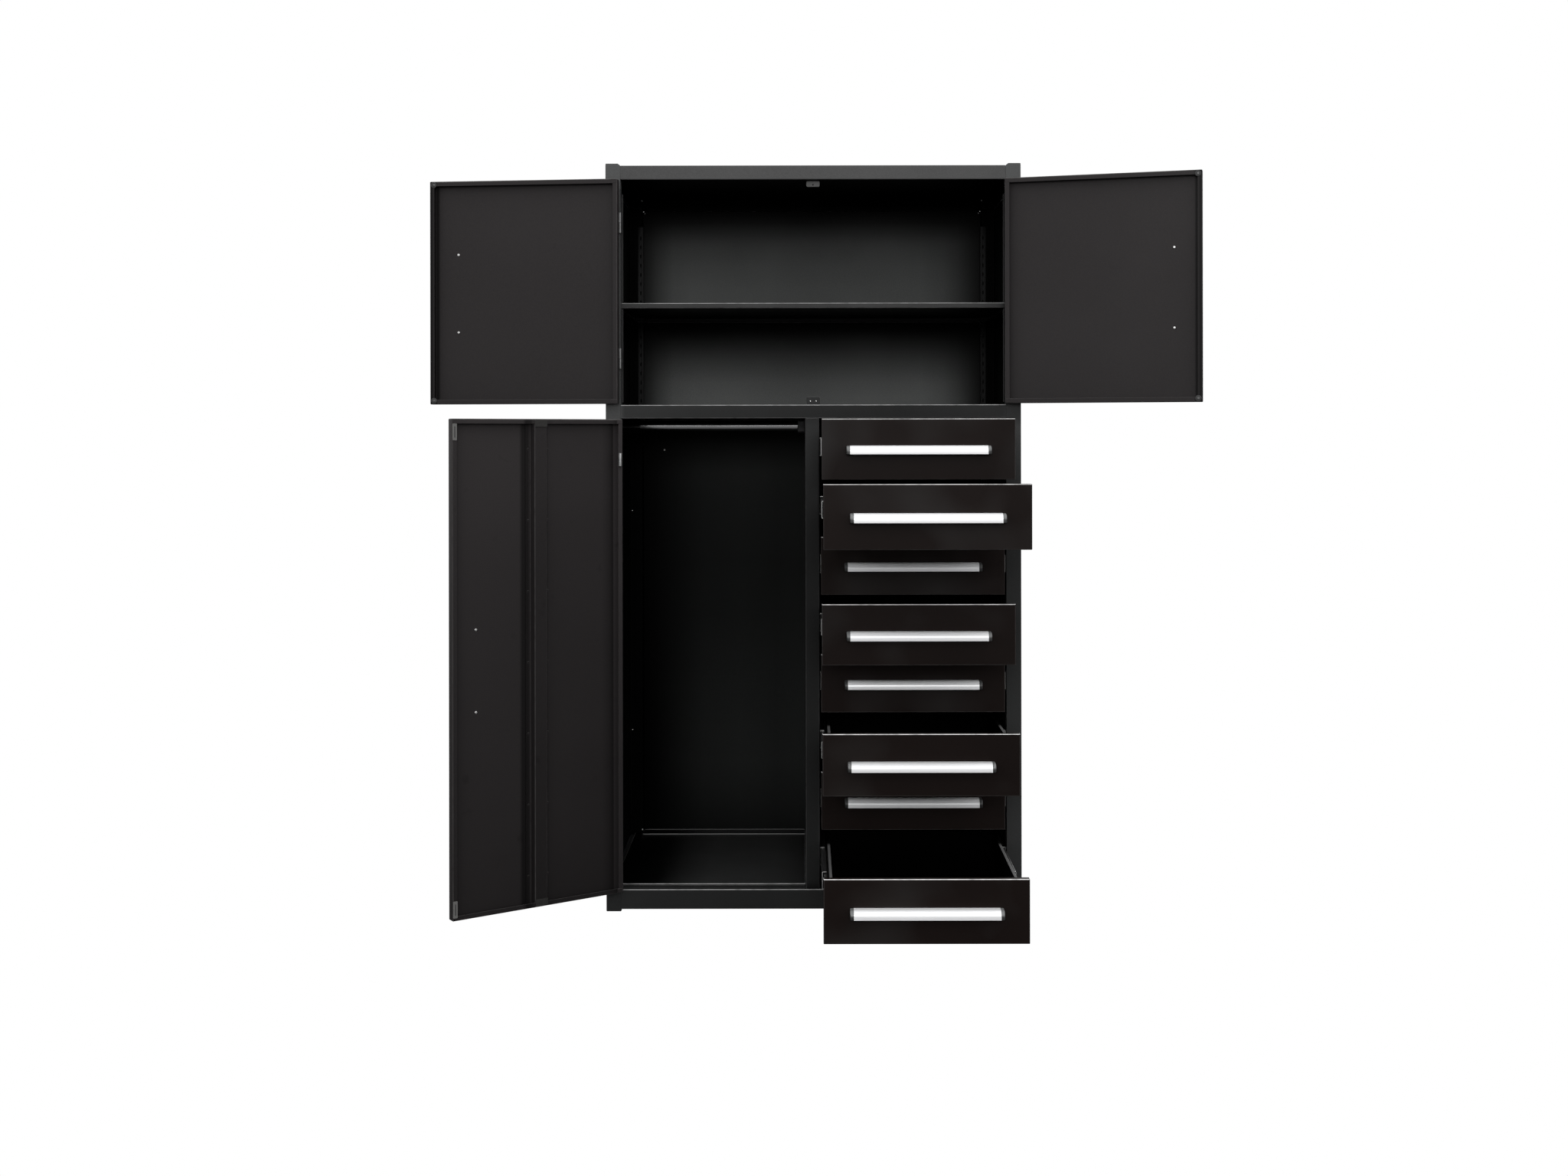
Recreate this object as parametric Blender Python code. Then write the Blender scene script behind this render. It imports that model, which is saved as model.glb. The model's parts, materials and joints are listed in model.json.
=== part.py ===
"""Steel combination cabinet: a two-door cupboard over a wardrobe bay and a bank of eight drawers.

Frame: origin on the floor at the centre of the footprint, +X to the right, +Y to the rear, +Z up.
The doors stand open and some drawers are pulled out. Every door and drawer is modelled shut, and
its parent empty, which sits on the joint's axis, carries it to where it rests.
"""
import math

import bmesh
import bpy
from mathutils import Vector

# Whole cabinet
WIDTH = 1.000
DEPTH = 0.600
HEIGHT = 1.800
POST = 0.036
SHEET = 0.0015
GAP = 0.0003
FRONT = -DEPTH / 2
REAR = DEPTH / 2
INNER_X = WIDTH / 2 - POST
FLANGE_LIP = 0.012

# Levels of the welded shell
RAIL_RECESS = 0.005
BASE_TOP = 0.053
DECK_BOTTOM = 1.186
DECK_TOP = 1.219
TOP_BOTTOM = 1.761
SHELF_TOP = 1.467
SHELF_DEPTH = 0.013
SHELF_FRONT = FRONT + POST + 0.0005
FLOOR_RISE = 0.006
FLOOR_FRONT = FRONT + 0.030
FLOOR_LIP = 0.008
BACK_FACE = REAR - 0.006
SIDE_FACE = WIDTH / 2 - 0.0010
DIVIDER_LEFT = -0.020
DIVIDER_RIGHT = 0.014
POST_WALL = 0.0025
POST_CHAMFER = 0.003
FOOT_LIP = 0.010
FOOT_SHEET = 0.003
BEAM_WIDTH = 0.060
LEDGE = (0.026, 0.480, 0.0025)

# Strike tabs, hanging rod
TAB_WIDTH = 0.032
TAB_CORNER = 0.004
TAB_SHEET = 0.002
TAB_BACK = 0.024
TAB_DROP = 0.0145
TAB_RISE = 0.0195
ROD_RADIUS = 0.0125
ROD_WALL = 0.0015
ROD_LEVEL = 1.170
SOCKET_LEFT = 0.052
SOCKET_RIGHT = 0.018
SOCKET_WIDTH = 0.040
SOCKET_BELOW = 0.019
SOCKET_ABOVE = 0.016

# Doors and hinges
PIVOT_X = INNER_X
PIVOT_Y = FRONT - 0.006
DOOR_DEPTH = 0.022
DOOR_LIP = 0.014
UPPER_START = 0.0008
TALL_START = 0.004
UPPER_REACH = 0.461
TALL_REACH = 0.441
DOOR_GAP = 0.002
UPPER_ANGLE = {"left": 186.0, "right": 164.0}
TALL_ANGLE = 145.6
KNUCKLE_RADIUS = 0.005
KNUCKLE_HEIGHT = 0.025
PIN_RADIUS = 0.0025
PIN_CLEARANCE = 0.0003
PIN_LENGTH = 0.020
PIN_ROOT = 0.002
LEAF_SHEET = 0.0022
LEAF_WIDTH = 0.016
UPPER_HINGES = (1.330, 1.656)
TALL_HINGES = (0.170, 0.620, 1.072)
STIFFENER_OFFSET = 0.222
STIFFENER = (0.062, 0.018, 0.0145)
STIFFENER_MARGIN = 0.003

# Handles
HANDLE_DEPTH = 0.026
HANDLE_HEIGHT = 0.022
HANDLE_WALL = 0.0025
HANDLE_ROUND = 0.013
HANDLE_CAP = 0.008
DRAWER_HANDLE = 0.334
DRAWER_HANDLE_DROP = 0.0012
DOOR_HANDLE = 0.210
DOOR_HANDLE_INSET = 0.065
UPPER_HANDLE_LEVEL = 1.489
TALL_HANDLE_LEVEL = 0.610

# Drawers: how far each one is pulled out, top to bottom
DRAWER_OUT = (0.207, 0.491, 0.0, 0.208, 0.0, 0.286, 0.0, 0.446)
DRAWER_PITCH = 0.1414
DRAWER_TOP = 1.1832
DRAWER_CENTRE = 0.239
FRONT_WIDTH = 0.443
FRONT_HEIGHT = 0.1399
FRONT_DEPTH = 0.016
FRONT_LIP = 0.010
BOX_WIDTH = 0.416
BOX_LENGTH = 0.545
BOX_SHEET = 0.0012
BOX_ROLL = 0.007
BOX_BELOW_FRONT = 0.024
BOX_ABOVE_BOTTOM = 0.0075
SLIDE_ABOVE_CENTRE = 0.004
SLIDE_SHEET = 0.0012
SLIDE_LENGTH = 0.500
SLIDE_START = 0.018
OUTER_RAIL = (0.044, 0.0107)
MIDDLE_RAIL = (0.0400, 0.0100, 0.0027)
INNER_RAIL = (0.0300, 0.0100)
PLATE = (FRONT + POST + 0.006, FRONT + 0.520)
PLATE_MARGIN = 0.025
DRAWER_BAY = INNER_X - DIVIDER_RIGHT
SIDES = (("left", -1), ("right", 1))

# How finely rounds are drawn
HINGE_STEPS = 12
ROD_STEPS = 24
HANDLE_STEPS = 5
SHARP_ANGLE = 35

COATING = ("black_powder_coat", (0.020, 0.020, 0.020, 1), 0.45, 0.0)
DOOR_COAT = ("warm_powder_coat", (0.032, 0.028, 0.029, 1), 0.50, 0.0)
ZINC = ("zinc_plate", (0.55, 0.56, 0.57, 1), 0.35, 1.0)
ALUMINIUM = ("brushed_aluminium", (0.86, 0.87, 0.88, 1), 0.30, 1.0)
CHROME = ("chrome", (0.75, 0.75, 0.76, 1), 0.12, 1.0)
DARK_PLASTIC = ("dark_plastic", (0.035, 0.035, 0.036, 1), 0.50, 0.0)


def clear_scene():
    for item in list(bpy.data.objects):
        bpy.data.objects.remove(item, do_unlink=True)


def finish_material(spec):
    name, colour, roughness, metallic = spec
    found = bpy.data.materials.get(name)
    if found:
        return found
    made = bpy.data.materials.new(name)
    made.use_nodes = True
    shader = made.node_tree.nodes["Principled BSDF"]
    shader.inputs["Base Color"].default_value = colour
    shader.inputs["Roughness"].default_value = roughness
    shader.inputs["Metallic"].default_value = metallic
    return made


# ---- outlines and how they lie in space ----

def rectangle(low_a, low_b, high_a, high_b):
    return [(low_a, low_b), (high_a, low_b), (high_a, high_b), (low_a, high_b)]


def circle(centre_a, centre_b, radius, steps):
    turns = [2 * math.pi * step / steps for step in range(steps)]
    return [(centre_a + radius * math.cos(turn), centre_b + radius * math.sin(turn)) for turn in turns]


def arc(centre, radius, start_degrees, end_degrees, steps):
    turns = [math.radians(start_degrees + (end_degrees - start_degrees) * step / steps)
             for step in range(steps + 1)]
    return [(centre[0] + radius * math.cos(turn), centre[1] + radius * math.sin(turn)) for turn in turns]


def inset(outline, distance):
    """The same outline, every edge moved inwards; the outline runs anticlockwise."""
    moved = []
    for index, corner in enumerate(outline):
        here = Vector(corner)
        arriving = (here - Vector(outline[index - 1])).normalized()
        leaving = (Vector(outline[(index + 1) % len(outline)]) - here).normalized()
        inward = Vector((-arriving.y, arriving.x)) + Vector((-leaving.y, leaving.x))
        moved.append(tuple(here + inward * distance / (1 + arriving.dot(leaving))))
    return moved


def notched(half_width, near, far, near_notch, far_notch):
    """A rectangle with its four corners cut square; each notch is (along X, along Y)."""
    front_x = half_width - near_notch[0]
    rear_x = half_width - far_notch[0]
    front_y = near + near_notch[1]
    rear_y = far - far_notch[1]
    return [(-front_x, near), (front_x, near), (front_x, front_y), (half_width, front_y),
            (half_width, rear_y), (rear_x, rear_y), (rear_x, far), (-rear_x, far),
            (-rear_x, rear_y), (-half_width, rear_y), (-half_width, front_y), (-front_x, front_y)]


def facing_down(level):
    return lambda a, b, t: (a, b, level - t)


def facing_up(level):
    return lambda a, b, t: (a, b, level + t)


def facing_back(plane):
    return lambda a, b, t: (a, plane + t, b)


def along_x(start):
    return lambda a, b, t: (start + t, a, b)


def along_y(start):
    return lambda a, b, t: (a, start + t, b)


# ---- solids ----

def mesh_from_rings(name, chains):
    """One mesh from chains of rings; each chain is closed off at both ends."""
    shape = bmesh.new()
    for rings in chains:
        loops = [[shape.verts.new(point) for point in ring] for ring in rings]
        for first, second in zip(loops, loops[1:]):
            for index in range(len(first)):
                following = (index + 1) % len(first)
                shape.faces.new((first[index], first[following], second[following], second[index]))
        shape.faces.new(loops[0])
        shape.faces.new(loops[-1])
    bmesh.ops.recalc_face_normals(shape, faces=shape.faces)
    mesh = bpy.data.meshes.new(name)
    shape.to_mesh(mesh)
    shape.free()
    return mesh


def add_object(name, mesh, spec, parent=None):
    """Link a mesh; under a parent it is already given relative to that parent."""
    item = bpy.data.objects.new(name, mesh)
    bpy.context.scene.collection.objects.link(item)
    if not mesh.materials:
        mesh.materials.append(finish_material(spec))
    item.parent = parent
    return item


def add_solid(name, chains, spec, parent=None):
    return add_object(name, mesh_from_rings(name, chains), spec, parent)


def add_empty(name, place, parent=None):
    item = bpy.data.objects.new(name, None)
    bpy.context.scene.collection.objects.link(item)
    item.location = place
    item.parent = parent
    return item


def prism(outline, thickness, place):
    return [[place(a, b, t) for a, b in outline] for t in (0, thickness)]


def box(low, high):
    outline = rectangle(low[0], low[1], high[0], high[1])
    return prism(outline, high[2] - low[2], facing_up(low[2]))


def pan(outline, depth, lip, sheet, place):
    """Folded sheet: a skin at t = 0, a flange all round and a lip turned in at its end."""
    steps = [(outline, 0), (outline, depth)]
    if lip > sheet:
        steps += [(inset(outline, lip), depth), (inset(outline, lip), depth - sheet)]
        steps += [(inset(outline, sheet), depth - sheet)]
    else:
        steps += [(inset(outline, sheet), depth)]
    steps += [(inset(outline, sheet), sheet)]
    return [[place(a, b, t) for a, b in ring] for ring, t in steps]


def channel(low, high, mouth, sheet):
    """Outline of a U in the (a, b) plane; mouth is the side it opens to: +1 or -1 along a."""
    shut, open_end = (low[0], high[0]) if mouth > 0 else (high[0], low[0])
    web = shut + mouth * sheet
    points = [(shut, low[1]), (open_end, low[1]), (open_end, low[1] + sheet), (web, low[1] + sheet),
              (web, high[1] - sheet), (open_end, high[1] - sheet), (open_end, high[1]), (shut, high[1])]
    return points if mouth > 0 else points[::-1]


def use_tool(target, chains, operation):
    """Join or cut with a helper solid that follows the target and is left out of the model."""
    tool = add_solid(target.name + "_" + operation.lower(), chains, COATING, target.parent)
    tool.hide_render = True
    tool.display_type = "WIRE"
    modifier = target.modifiers.new(operation.title(), "BOOLEAN")
    modifier.operation = operation
    modifier.solver = "EXACT"
    modifier.object = tool
    return tool


def settled_mesh(item, helpers):
    """The finished mesh of an object with its modifiers; the object and its helpers go."""
    evaluated = item.evaluated_get(bpy.context.evaluated_depsgraph_get())
    mesh = bpy.data.meshes.new_from_object(evaluated)
    for extra in [item] + helpers:
        bpy.data.objects.remove(extra, do_unlink=True)
    return mesh


def smooth_round(mesh):
    mesh.shade_smooth()
    mesh.set_sharp_from_angle(angle=math.radians(SHARP_ANGLE))


# ---- hinges: a fixed half welded to the post, a moving half welded to the door ----

def fixed_hinge(level, side):
    """Barrel, pin and leaf on the post, in cabinet coordinates; the split is at the level."""
    axis_x = side * PIVOT_X
    barrel = prism(circle(axis_x, PIVOT_Y, KNUCKLE_RADIUS, HINGE_STEPS), KNUCKLE_HEIGHT - GAP,
                   facing_up(level - KNUCKLE_HEIGHT))
    pin = prism(circle(axis_x, PIVOT_Y, PIN_RADIUS, HINGE_STEPS), PIN_LENGTH + PIN_ROOT,
                facing_up(level - PIN_ROOT))
    inner, outer = sorted((axis_x, axis_x + side * LEAF_WIDTH))
    leaf = box((inner, FRONT - LEAF_SHEET, level - KNUCKLE_HEIGHT), (outer, FRONT + GAP, level - GAP))
    return [barrel, pin, leaf]


def moving_hinge(level, side):
    """Bored barrel and leaf on the shut door, relative to the pivot."""
    turned = circle(0, 0, KNUCKLE_RADIUS, HINGE_STEPS)
    bore = circle(0, 0, PIN_RADIUS + PIN_CLEARANCE, HINGE_STEPS)
    depth = PIN_LENGTH + 2 * PIN_CLEARANCE
    barrel = [[(a, b, level + t) for a, b in ring]
              for ring, t in ((turned, KNUCKLE_HEIGHT), (turned, 0), (bore, 0), (bore, depth))]
    skin = FRONT - PIVOT_Y
    inner, outer = sorted((0, -side * LEAF_WIDTH))
    leaf = box((inner, skin - LEAF_SHEET, level), (outer, skin + GAP, level + KNUCKLE_HEIGHT))
    return [barrel], [leaf]


def weld(target, groups):
    """Join groups of helper solids one after another."""
    return [use_tool(target, chains, "UNION") for chains in groups]


# ---- the welded shell ----

def make_posts():
    """Square tubes: chamfered and shut at the top, a foot plate with a hole at the bottom."""
    for row, edge in (("front", FRONT), ("rear", REAR - POST)):
        for name, side in SIDES:
            low_x = min(side * INNER_X, side * WIDTH / 2)
            outline = rectangle(low_x, edge, low_x + POST, edge + POST)
            hollow = inset(outline, POST_WALL)
            foot_hole = inset(outline, FOOT_LIP)
            steps = [(inset(outline, POST_CHAMFER), HEIGHT), (outline, HEIGHT - POST_CHAMFER),
                     (outline, 0), (foot_hole, 0), (foot_hole, FOOT_SHEET), (hollow, FOOT_SHEET),
                     (hollow, HEIGHT - 2 * POST_CHAMFER)]
            rings = [[(a, b, level) for a, b in ring] for ring, level in steps]
            post = add_solid(f"post_{row}_{name}", [rings], COATING)
            if row == "front":
                levels = UPPER_HINGES + (TALL_HINGES if side < 0 else ())
                parts = [fixed_hinge(level, side) for level in levels]
                weld(post, [[part[index] for part in parts] for index in (2, 0, 1)])


def make_shell():
    """Top, base and middle deck are folded pans whose front flanges are the visible rails."""
    corner = (POST + GAP, POST + GAP)
    whole = notched(WIDTH / 2, FRONT, REAR, corner, corner)
    add_solid("top_panel", [pan(whole, HEIGHT - RAIL_RECESS - TOP_BOTTOM, FLANGE_LIP, SHEET,
                                facing_down(HEIGHT - RAIL_RECESS))], COATING)
    add_solid("base_pan", [pan(whole, BASE_TOP - RAIL_RECESS, FLANGE_LIP, SHEET,
                               facing_down(BASE_TOP))], COATING)
    beam_y = DEPTH / 2 - FLANGE_LIP - GAP
    section = channel((RAIL_RECESS, -BEAM_WIDTH / 2), (BASE_TOP - SHEET - GAP, BEAM_WIDTH / 2), 1, SHEET)
    add_solid("base_beam", [prism([(b, a) for a, b in section[::-1]], 2 * beam_y, along_y(-beam_y))],
              COATING)
    half = SIDE_FACE - FLANGE_LIP - GAP
    near_notch = (half - INNER_X + GAP, POST + GAP)
    far_notch = (half - INNER_X + GAP, BACK_FACE - REAR + POST)
    deck = notched(half, FRONT, BACK_FACE - GAP, near_notch, far_notch)
    add_solid("mid_deck", [pan(deck, DECK_TOP - DECK_BOTTOM, FLANGE_LIP, SHEET,
                               facing_down(DECK_TOP))], COATING)
    sheet = rectangle(-INNER_X + GAP, BASE_TOP + GAP, INNER_X - GAP, TOP_BOTTOM - GAP)
    add_solid("back_panel", [prism(sheet, SHEET, facing_back(BACK_FACE))], COATING)


def make_side_panels():
    """Each side is a sheet with flanges against the posts and a welded ledge for the shelf."""
    near = FRONT + POST + GAP
    far = REAR - POST - GAP
    ledge_width, ledge_length, ledge_sheet = LEDGE
    for name, side in SIDES:
        low_x, high_x = sorted((side * SIDE_FACE, side * (SIDE_FACE - FLANGE_LIP)))
        outline = channel((low_x, near), (high_x, far), -side, SHEET)
        panel = add_solid(f"side_panel_{name}", [prism(
            outline, TOP_BOTTOM - BASE_TOP - 2 * GAP, facing_up(BASE_TOP + GAP))], COATING)
        low_x, high_x = sorted((side * (SIDE_FACE - GAP), side * (SIDE_FACE - ledge_width)))
        ledge_top = SHELF_TOP - SHELF_DEPTH - GAP
        use_tool(panel, [box((low_x, -ledge_length / 2, ledge_top - ledge_sheet),
                             (high_x, ledge_length / 2, ledge_top))], "UNION")


def make_divider():
    """A folded channel: its face is the middle upright, its webs part the two lower bays."""
    depth = BACK_FACE - GAP - FRONT
    face = [(a, b) for b, a in channel((FRONT, DIVIDER_LEFT), (FRONT + depth, DIVIDER_RIGHT), 1, SHEET)]
    add_solid("divider", [prism(face[::-1], DECK_BOTTOM - BASE_TOP - 2 * GAP,
                                facing_up(BASE_TOP + GAP))], COATING)


def make_floor():
    """Raised wardrobe floor; its front edge stops the tall door."""
    left = -(SIDE_FACE - SHEET - GAP)
    post_x = -INNER_X + GAP
    right = DIVIDER_LEFT - GAP
    near = FRONT + POST + GAP
    far = REAR - POST - GAP
    outline = [(post_x, FLOOR_FRONT), (right, FLOOR_FRONT), (right, BACK_FACE - GAP),
               (post_x, BACK_FACE - GAP), (post_x, far), (left + FLANGE_LIP, far),
               (left + FLANGE_LIP, near), (post_x, near)]
    add_solid("wardrobe_floor", [pan(outline, FLOOR_RISE - GAP, FLOOR_LIP, SHEET,
                                     facing_down(BASE_TOP + FLOOR_RISE))], COATING)


def make_shelf():
    half = SIDE_FACE - FLANGE_LIP - GAP
    rear_notch = (half - INNER_X + GAP, BACK_FACE - REAR + POST)
    outline = [(-half, SHELF_FRONT), (half, SHELF_FRONT)]
    rear = BACK_FACE - GAP
    outline += [(half, rear - rear_notch[1]), (half - rear_notch[0], rear - rear_notch[1]),
                (half - rear_notch[0], rear), (-half + rear_notch[0], rear),
                (-half + rear_notch[0], rear - rear_notch[1]), (-half, rear - rear_notch[1])]
    add_solid("shelf", [pan(outline, SHELF_DEPTH, FLANGE_LIP, SHEET, facing_down(SHELF_TOP))], COATING)


def make_strike_tabs():
    """Small plates at mid width that the two upper doors close against."""
    half = TAB_WIDTH / 2
    for name, root, tip in (("top", TOP_BOTTOM - GAP, TOP_BOTTOM - TAB_DROP),
                            ("bottom", DECK_TOP + GAP, DECK_TOP + TAB_RISE)):
        outward = 1 if tip > root else -1
        inner = tip - outward * TAB_CORNER
        points = [(-half, root), (half, root), (half, inner), (half - TAB_CORNER, tip),
                  (-half + TAB_CORNER, tip), (-half, inner)]
        add_solid(f"strike_tab_{name}", [prism(points, TAB_SHEET, facing_back(FRONT + TAB_BACK))], COATING)


def make_hanging_rod():
    """Tube across the wardrobe with a socket block at each end."""
    left = -(SIDE_FACE - SHEET - GAP)
    right = DIVIDER_LEFT - GAP
    low = (-SOCKET_WIDTH / 2, ROD_LEVEL - SOCKET_BELOW)
    high = (SOCKET_WIDTH / 2, ROD_LEVEL + SOCKET_ABOVE)
    add_solid("rod_socket_left", [box((left, *low), (left + SOCKET_LEFT, *high))], DARK_PLASTIC)
    add_solid("rod_socket_right", [box((right - SOCKET_RIGHT, *low), (right, *high))], DARK_PLASTIC)
    start = left + SOCKET_LEFT + GAP
    length = right - SOCKET_RIGHT - GAP - start
    outer = circle(0, ROD_LEVEL, ROD_RADIUS, ROD_STEPS)
    inner = circle(0, ROD_LEVEL, ROD_RADIUS - ROD_WALL, ROD_STEPS)
    rings = [[(start + t, a, b) for a, b in ring] for ring, t in
             ((outer, 0), (outer, length), (inner, length), (inner, 0))]
    rod = add_tube("hanging_rod", rings, CHROME)
    smooth_round(rod.data)


def add_tube(name, rings, spec):
    """A ring chain whose last ring joins its first."""
    shape = bmesh.new()
    loops = [[shape.verts.new(point) for point in ring] for ring in rings]
    for first, second in zip(loops, loops[1:] + loops[:1]):
        for index in range(len(first)):
            following = (index + 1) % len(first)
            shape.faces.new((first[index], first[following], second[following], second[index]))
    bmesh.ops.recalc_face_normals(shape, faces=shape.faces)
    mesh = bpy.data.meshes.new(name)
    shape.to_mesh(mesh)
    shape.free()
    return add_object(name, mesh, spec)


# ---- handles ----

def handle_mesh(length):
    """Hood pull: closed above and at the ends, open below; along X, its back on the plane y = 0."""
    low = -HANDLE_HEIGHT / 2
    high = HANDLE_HEIGHT / 2
    bend = (-HANDLE_DEPTH + HANDLE_ROUND, high - HANDLE_ROUND)
    outer = [(-GAP, high), *arc(bend, HANDLE_ROUND, 90, 180, HANDLE_STEPS), (-HANDLE_DEPTH, low), (-GAP, low)]
    block = add_solid("handle_block", [prism(outer, length, along_x(-length / 2))], ALUMINIUM)
    inner_round = HANDLE_ROUND - HANDLE_WALL
    rear = -GAP - HANDLE_WALL
    inner = [(rear, high - HANDLE_WALL), *arc(bend, inner_round, 90, 180, HANDLE_STEPS),
             (-HANDLE_DEPTH + HANDLE_WALL, low - HANDLE_WALL), (rear, low - HANDLE_WALL)]
    hollow = length - 2 * HANDLE_CAP
    cutter = use_tool(block, [prism(inner, hollow, along_x(-hollow / 2))], "DIFFERENCE")
    mesh = settled_mesh(block, [cutter])
    smooth_round(mesh)
    return mesh


# ---- doors ----

def add_door(name, side, span, levels, hinge_levels, angle, handle, handle_level):
    """A folded pan on its pivot; side is -1 for a door hung on the left post, +1 on the right."""
    pivot = add_empty(f"{name}_pivot", (side * PIVOT_X, PIVOT_Y, 0))
    start, reach = span
    low_a, high_a = sorted((-side * start, -side * reach))
    outline = rectangle(low_a, levels[0], high_a, levels[1])
    door = add_solid(name, [pan(outline, DOOR_DEPTH, DOOR_LIP, SHEET, facing_back(FRONT - PIVOT_Y))],
                     DOOR_COAT, pivot)
    halves = [moving_hinge(level, side) for level in hinge_levels]
    weld(door, [[chain for half in halves for chain in half[index]] for index in (1, 0)])
    grip = add_object(f"{name}_handle", handle, ALUMINIUM, pivot)
    grip.location = (-side * (reach - DOOR_HANDLE_INSET), FRONT - PIVOT_Y, handle_level)
    grip.rotation_euler = (0, math.radians(-90 * side), 0)
    pivot.rotation_euler.z = math.radians(side * angle)
    return pivot


def make_doors():
    handle = handle_mesh(DOOR_HANDLE)
    levels = (DECK_TOP + DOOR_GAP, TOP_BOTTOM - DOOR_GAP)
    for name, side in SIDES:
        add_door(f"door_upper_{name}", side, (UPPER_START, UPPER_REACH), levels, UPPER_HINGES,
                 UPPER_ANGLE[name], handle, UPPER_HANDLE_LEVEL)
    levels = (BASE_TOP + DOOR_GAP, DECK_BOTTOM - DOOR_GAP)
    pivot = add_door("door_tall", -1, (TALL_START, TALL_REACH), levels, TALL_HINGES, TALL_ANGLE, handle,
                     TALL_HANDLE_LEVEL)
    add_stiffener(pivot, levels)


def add_stiffener(pivot, levels):
    """Hat section welded up the middle of the tall door's inner side."""
    width, depth, brim = STIFFENER
    skin = FRONT - PIVOT_Y + SHEET + GAP
    low = STIFFENER_OFFSET - width / 2
    high = STIFFENER_OFFSET + width / 2
    outline = [(low, skin), (low + brim, skin), (low + brim, skin + depth - SHEET),
               (high - brim, skin + depth - SHEET), (high - brim, skin), (high, skin),
               (high, skin + SHEET), (high - brim + SHEET, skin + SHEET),
               (high - brim + SHEET, skin + depth), (low + brim - SHEET, skin + depth),
               (low + brim - SHEET, skin + SHEET), (low, skin + SHEET)]
    bottom = levels[0] + STIFFENER_MARGIN
    add_solid("door_stiffener", [prism(outline, levels[1] - STIFFENER_MARGIN - bottom,
                                       facing_up(bottom))], DOOR_COAT, pivot)


# ---- drawers ----

def drawer_mesh():
    """Front pan, box with rolled rims and the two slide members fixed to it, shut, about its centre."""
    half = FRONT_WIDTH / 2
    tall = FRONT_HEIGHT / 2
    face = add_solid("drawer_face", [pan(rectangle(-half, -tall, half, tall), FRONT_DEPTH, FRONT_LIP,
                                         SHEET, facing_back(0))], COATING)
    bottom = -tall + BOX_ABOVE_BOTTOM
    tray = rectangle(-BOX_WIDTH / 2, SHEET - GAP, BOX_WIDTH / 2, BOX_LENGTH)
    height = FRONT_HEIGHT - BOX_ABOVE_BOTTOM - BOX_BELOW_FRONT
    tools = [use_tool(face, [pan(tray, height, BOX_ROLL, BOX_SHEET, facing_up(bottom))], "UNION")]
    rail_height, rail_depth = INNER_RAIL
    rails = []
    for name, side in SIDES:
        low, high = sorted((side * (BOX_WIDTH / 2 - GAP), side * (BOX_WIDTH / 2 + rail_depth)))
        centre = SLIDE_ABOVE_CENTRE
        outline = channel((low, centre - rail_height / 2), (high, centre + rail_height / 2), -side,
                          SLIDE_SHEET)
        rails.append(prism(outline, SLIDE_LENGTH, along_y(SLIDE_START)))
    tools.append(use_tool(face, rails, "UNION"))
    return settled_mesh(face, tools)


def slide_profile(side, extent, offset):
    """U open towards the drawer; offset is the web's distance from the bay's wall."""
    height, depth = extent
    wall = side * (DRAWER_BAY / 2 - GAP - offset)
    low, high = sorted((wall, wall - side * depth))
    centre = SLIDE_ABOVE_CENTRE
    return channel((low, centre - height / 2), (high, centre + height / 2), -side, SLIDE_SHEET)


def drawer_level(index):
    return DRAWER_TOP - FRONT_HEIGHT / 2 - index * DRAWER_PITCH


def make_drawers():
    body = drawer_mesh()
    handle = handle_mesh(DRAWER_HANDLE)
    height, depth, offset = MIDDLE_RAIL
    middle = {name: mesh_from_rings(f"middle_rail_{name}", [prism(
        slide_profile(side, (height, depth), offset), SLIDE_LENGTH, along_y(SLIDE_START))])
        for name, side in SIDES}
    for index, out in enumerate(DRAWER_OUT):
        place = Vector((DRAWER_CENTRE, FRONT, drawer_level(index)))
        name = f"drawer_{index + 1}"
        carrier = add_empty(f"{name}_travel", place + Vector((0, -out, 0)))
        add_object(name, body, COATING, carrier)
        grip = add_object(f"{name}_handle", handle, ALUMINIUM, carrier)
        grip.location.z = -DRAWER_HANDLE_DROP
        halfway = add_empty(f"{name}_slides_travel", place + Vector((0, -out / 2, 0)))
        for side_name, side in SIDES:
            add_object(f"{name}_slide_{side_name}", middle[side_name], ZINC, halfway)


def make_slide_plates():
    """Eight fixed slide members a side on a plate; the right plate boxes out past the post."""
    low_z = BASE_TOP + PLATE_MARGIN
    height = DECK_BOTTOM - PLATE_MARGIN - low_z
    for name, side in SIDES:
        wall = DRAWER_CENTRE + side * (DRAWER_BAY / 2 - GAP)
        if side < 0:
            outline = rectangle(wall, PLATE[0], wall + SLIDE_SHEET, PLATE[1])
        else:
            far_x = SIDE_FACE - SHEET - GAP
            outline = channel((wall - SLIDE_SHEET, PLATE[0]), (far_x, PLATE[1]), 1, SLIDE_SHEET)
        plate = add_solid(f"slide_plate_{name}", [prism(outline, height, facing_up(low_z))], ZINC)
        profile = slide_profile(side, OUTER_RAIL, 0)
        rails = []
        for index in range(len(DRAWER_OUT)):
            centre = drawer_level(index)
            rails.append([[(DRAWER_CENTRE + a, b, centre + c) for a, b, c in ring]
                          for ring in prism(profile, SLIDE_LENGTH, along_y(FRONT + SLIDE_START))])
        use_tool(plate, rails, "UNION")


clear_scene()
make_posts()
make_shell()
make_side_panels()
make_divider()
make_floor()
make_shelf()
make_strike_tabs()
make_hanging_rod()
make_doors()
make_drawers()
make_slide_plates()
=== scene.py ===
"""The looks of the steel combination cabinet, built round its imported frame.

Every piece is made in metres. A door is made shut and turned to where it rests about its hinge;
a drawer is made round the middle of its front and set down where the frame has it.
"""
import json
import math
import random

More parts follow.
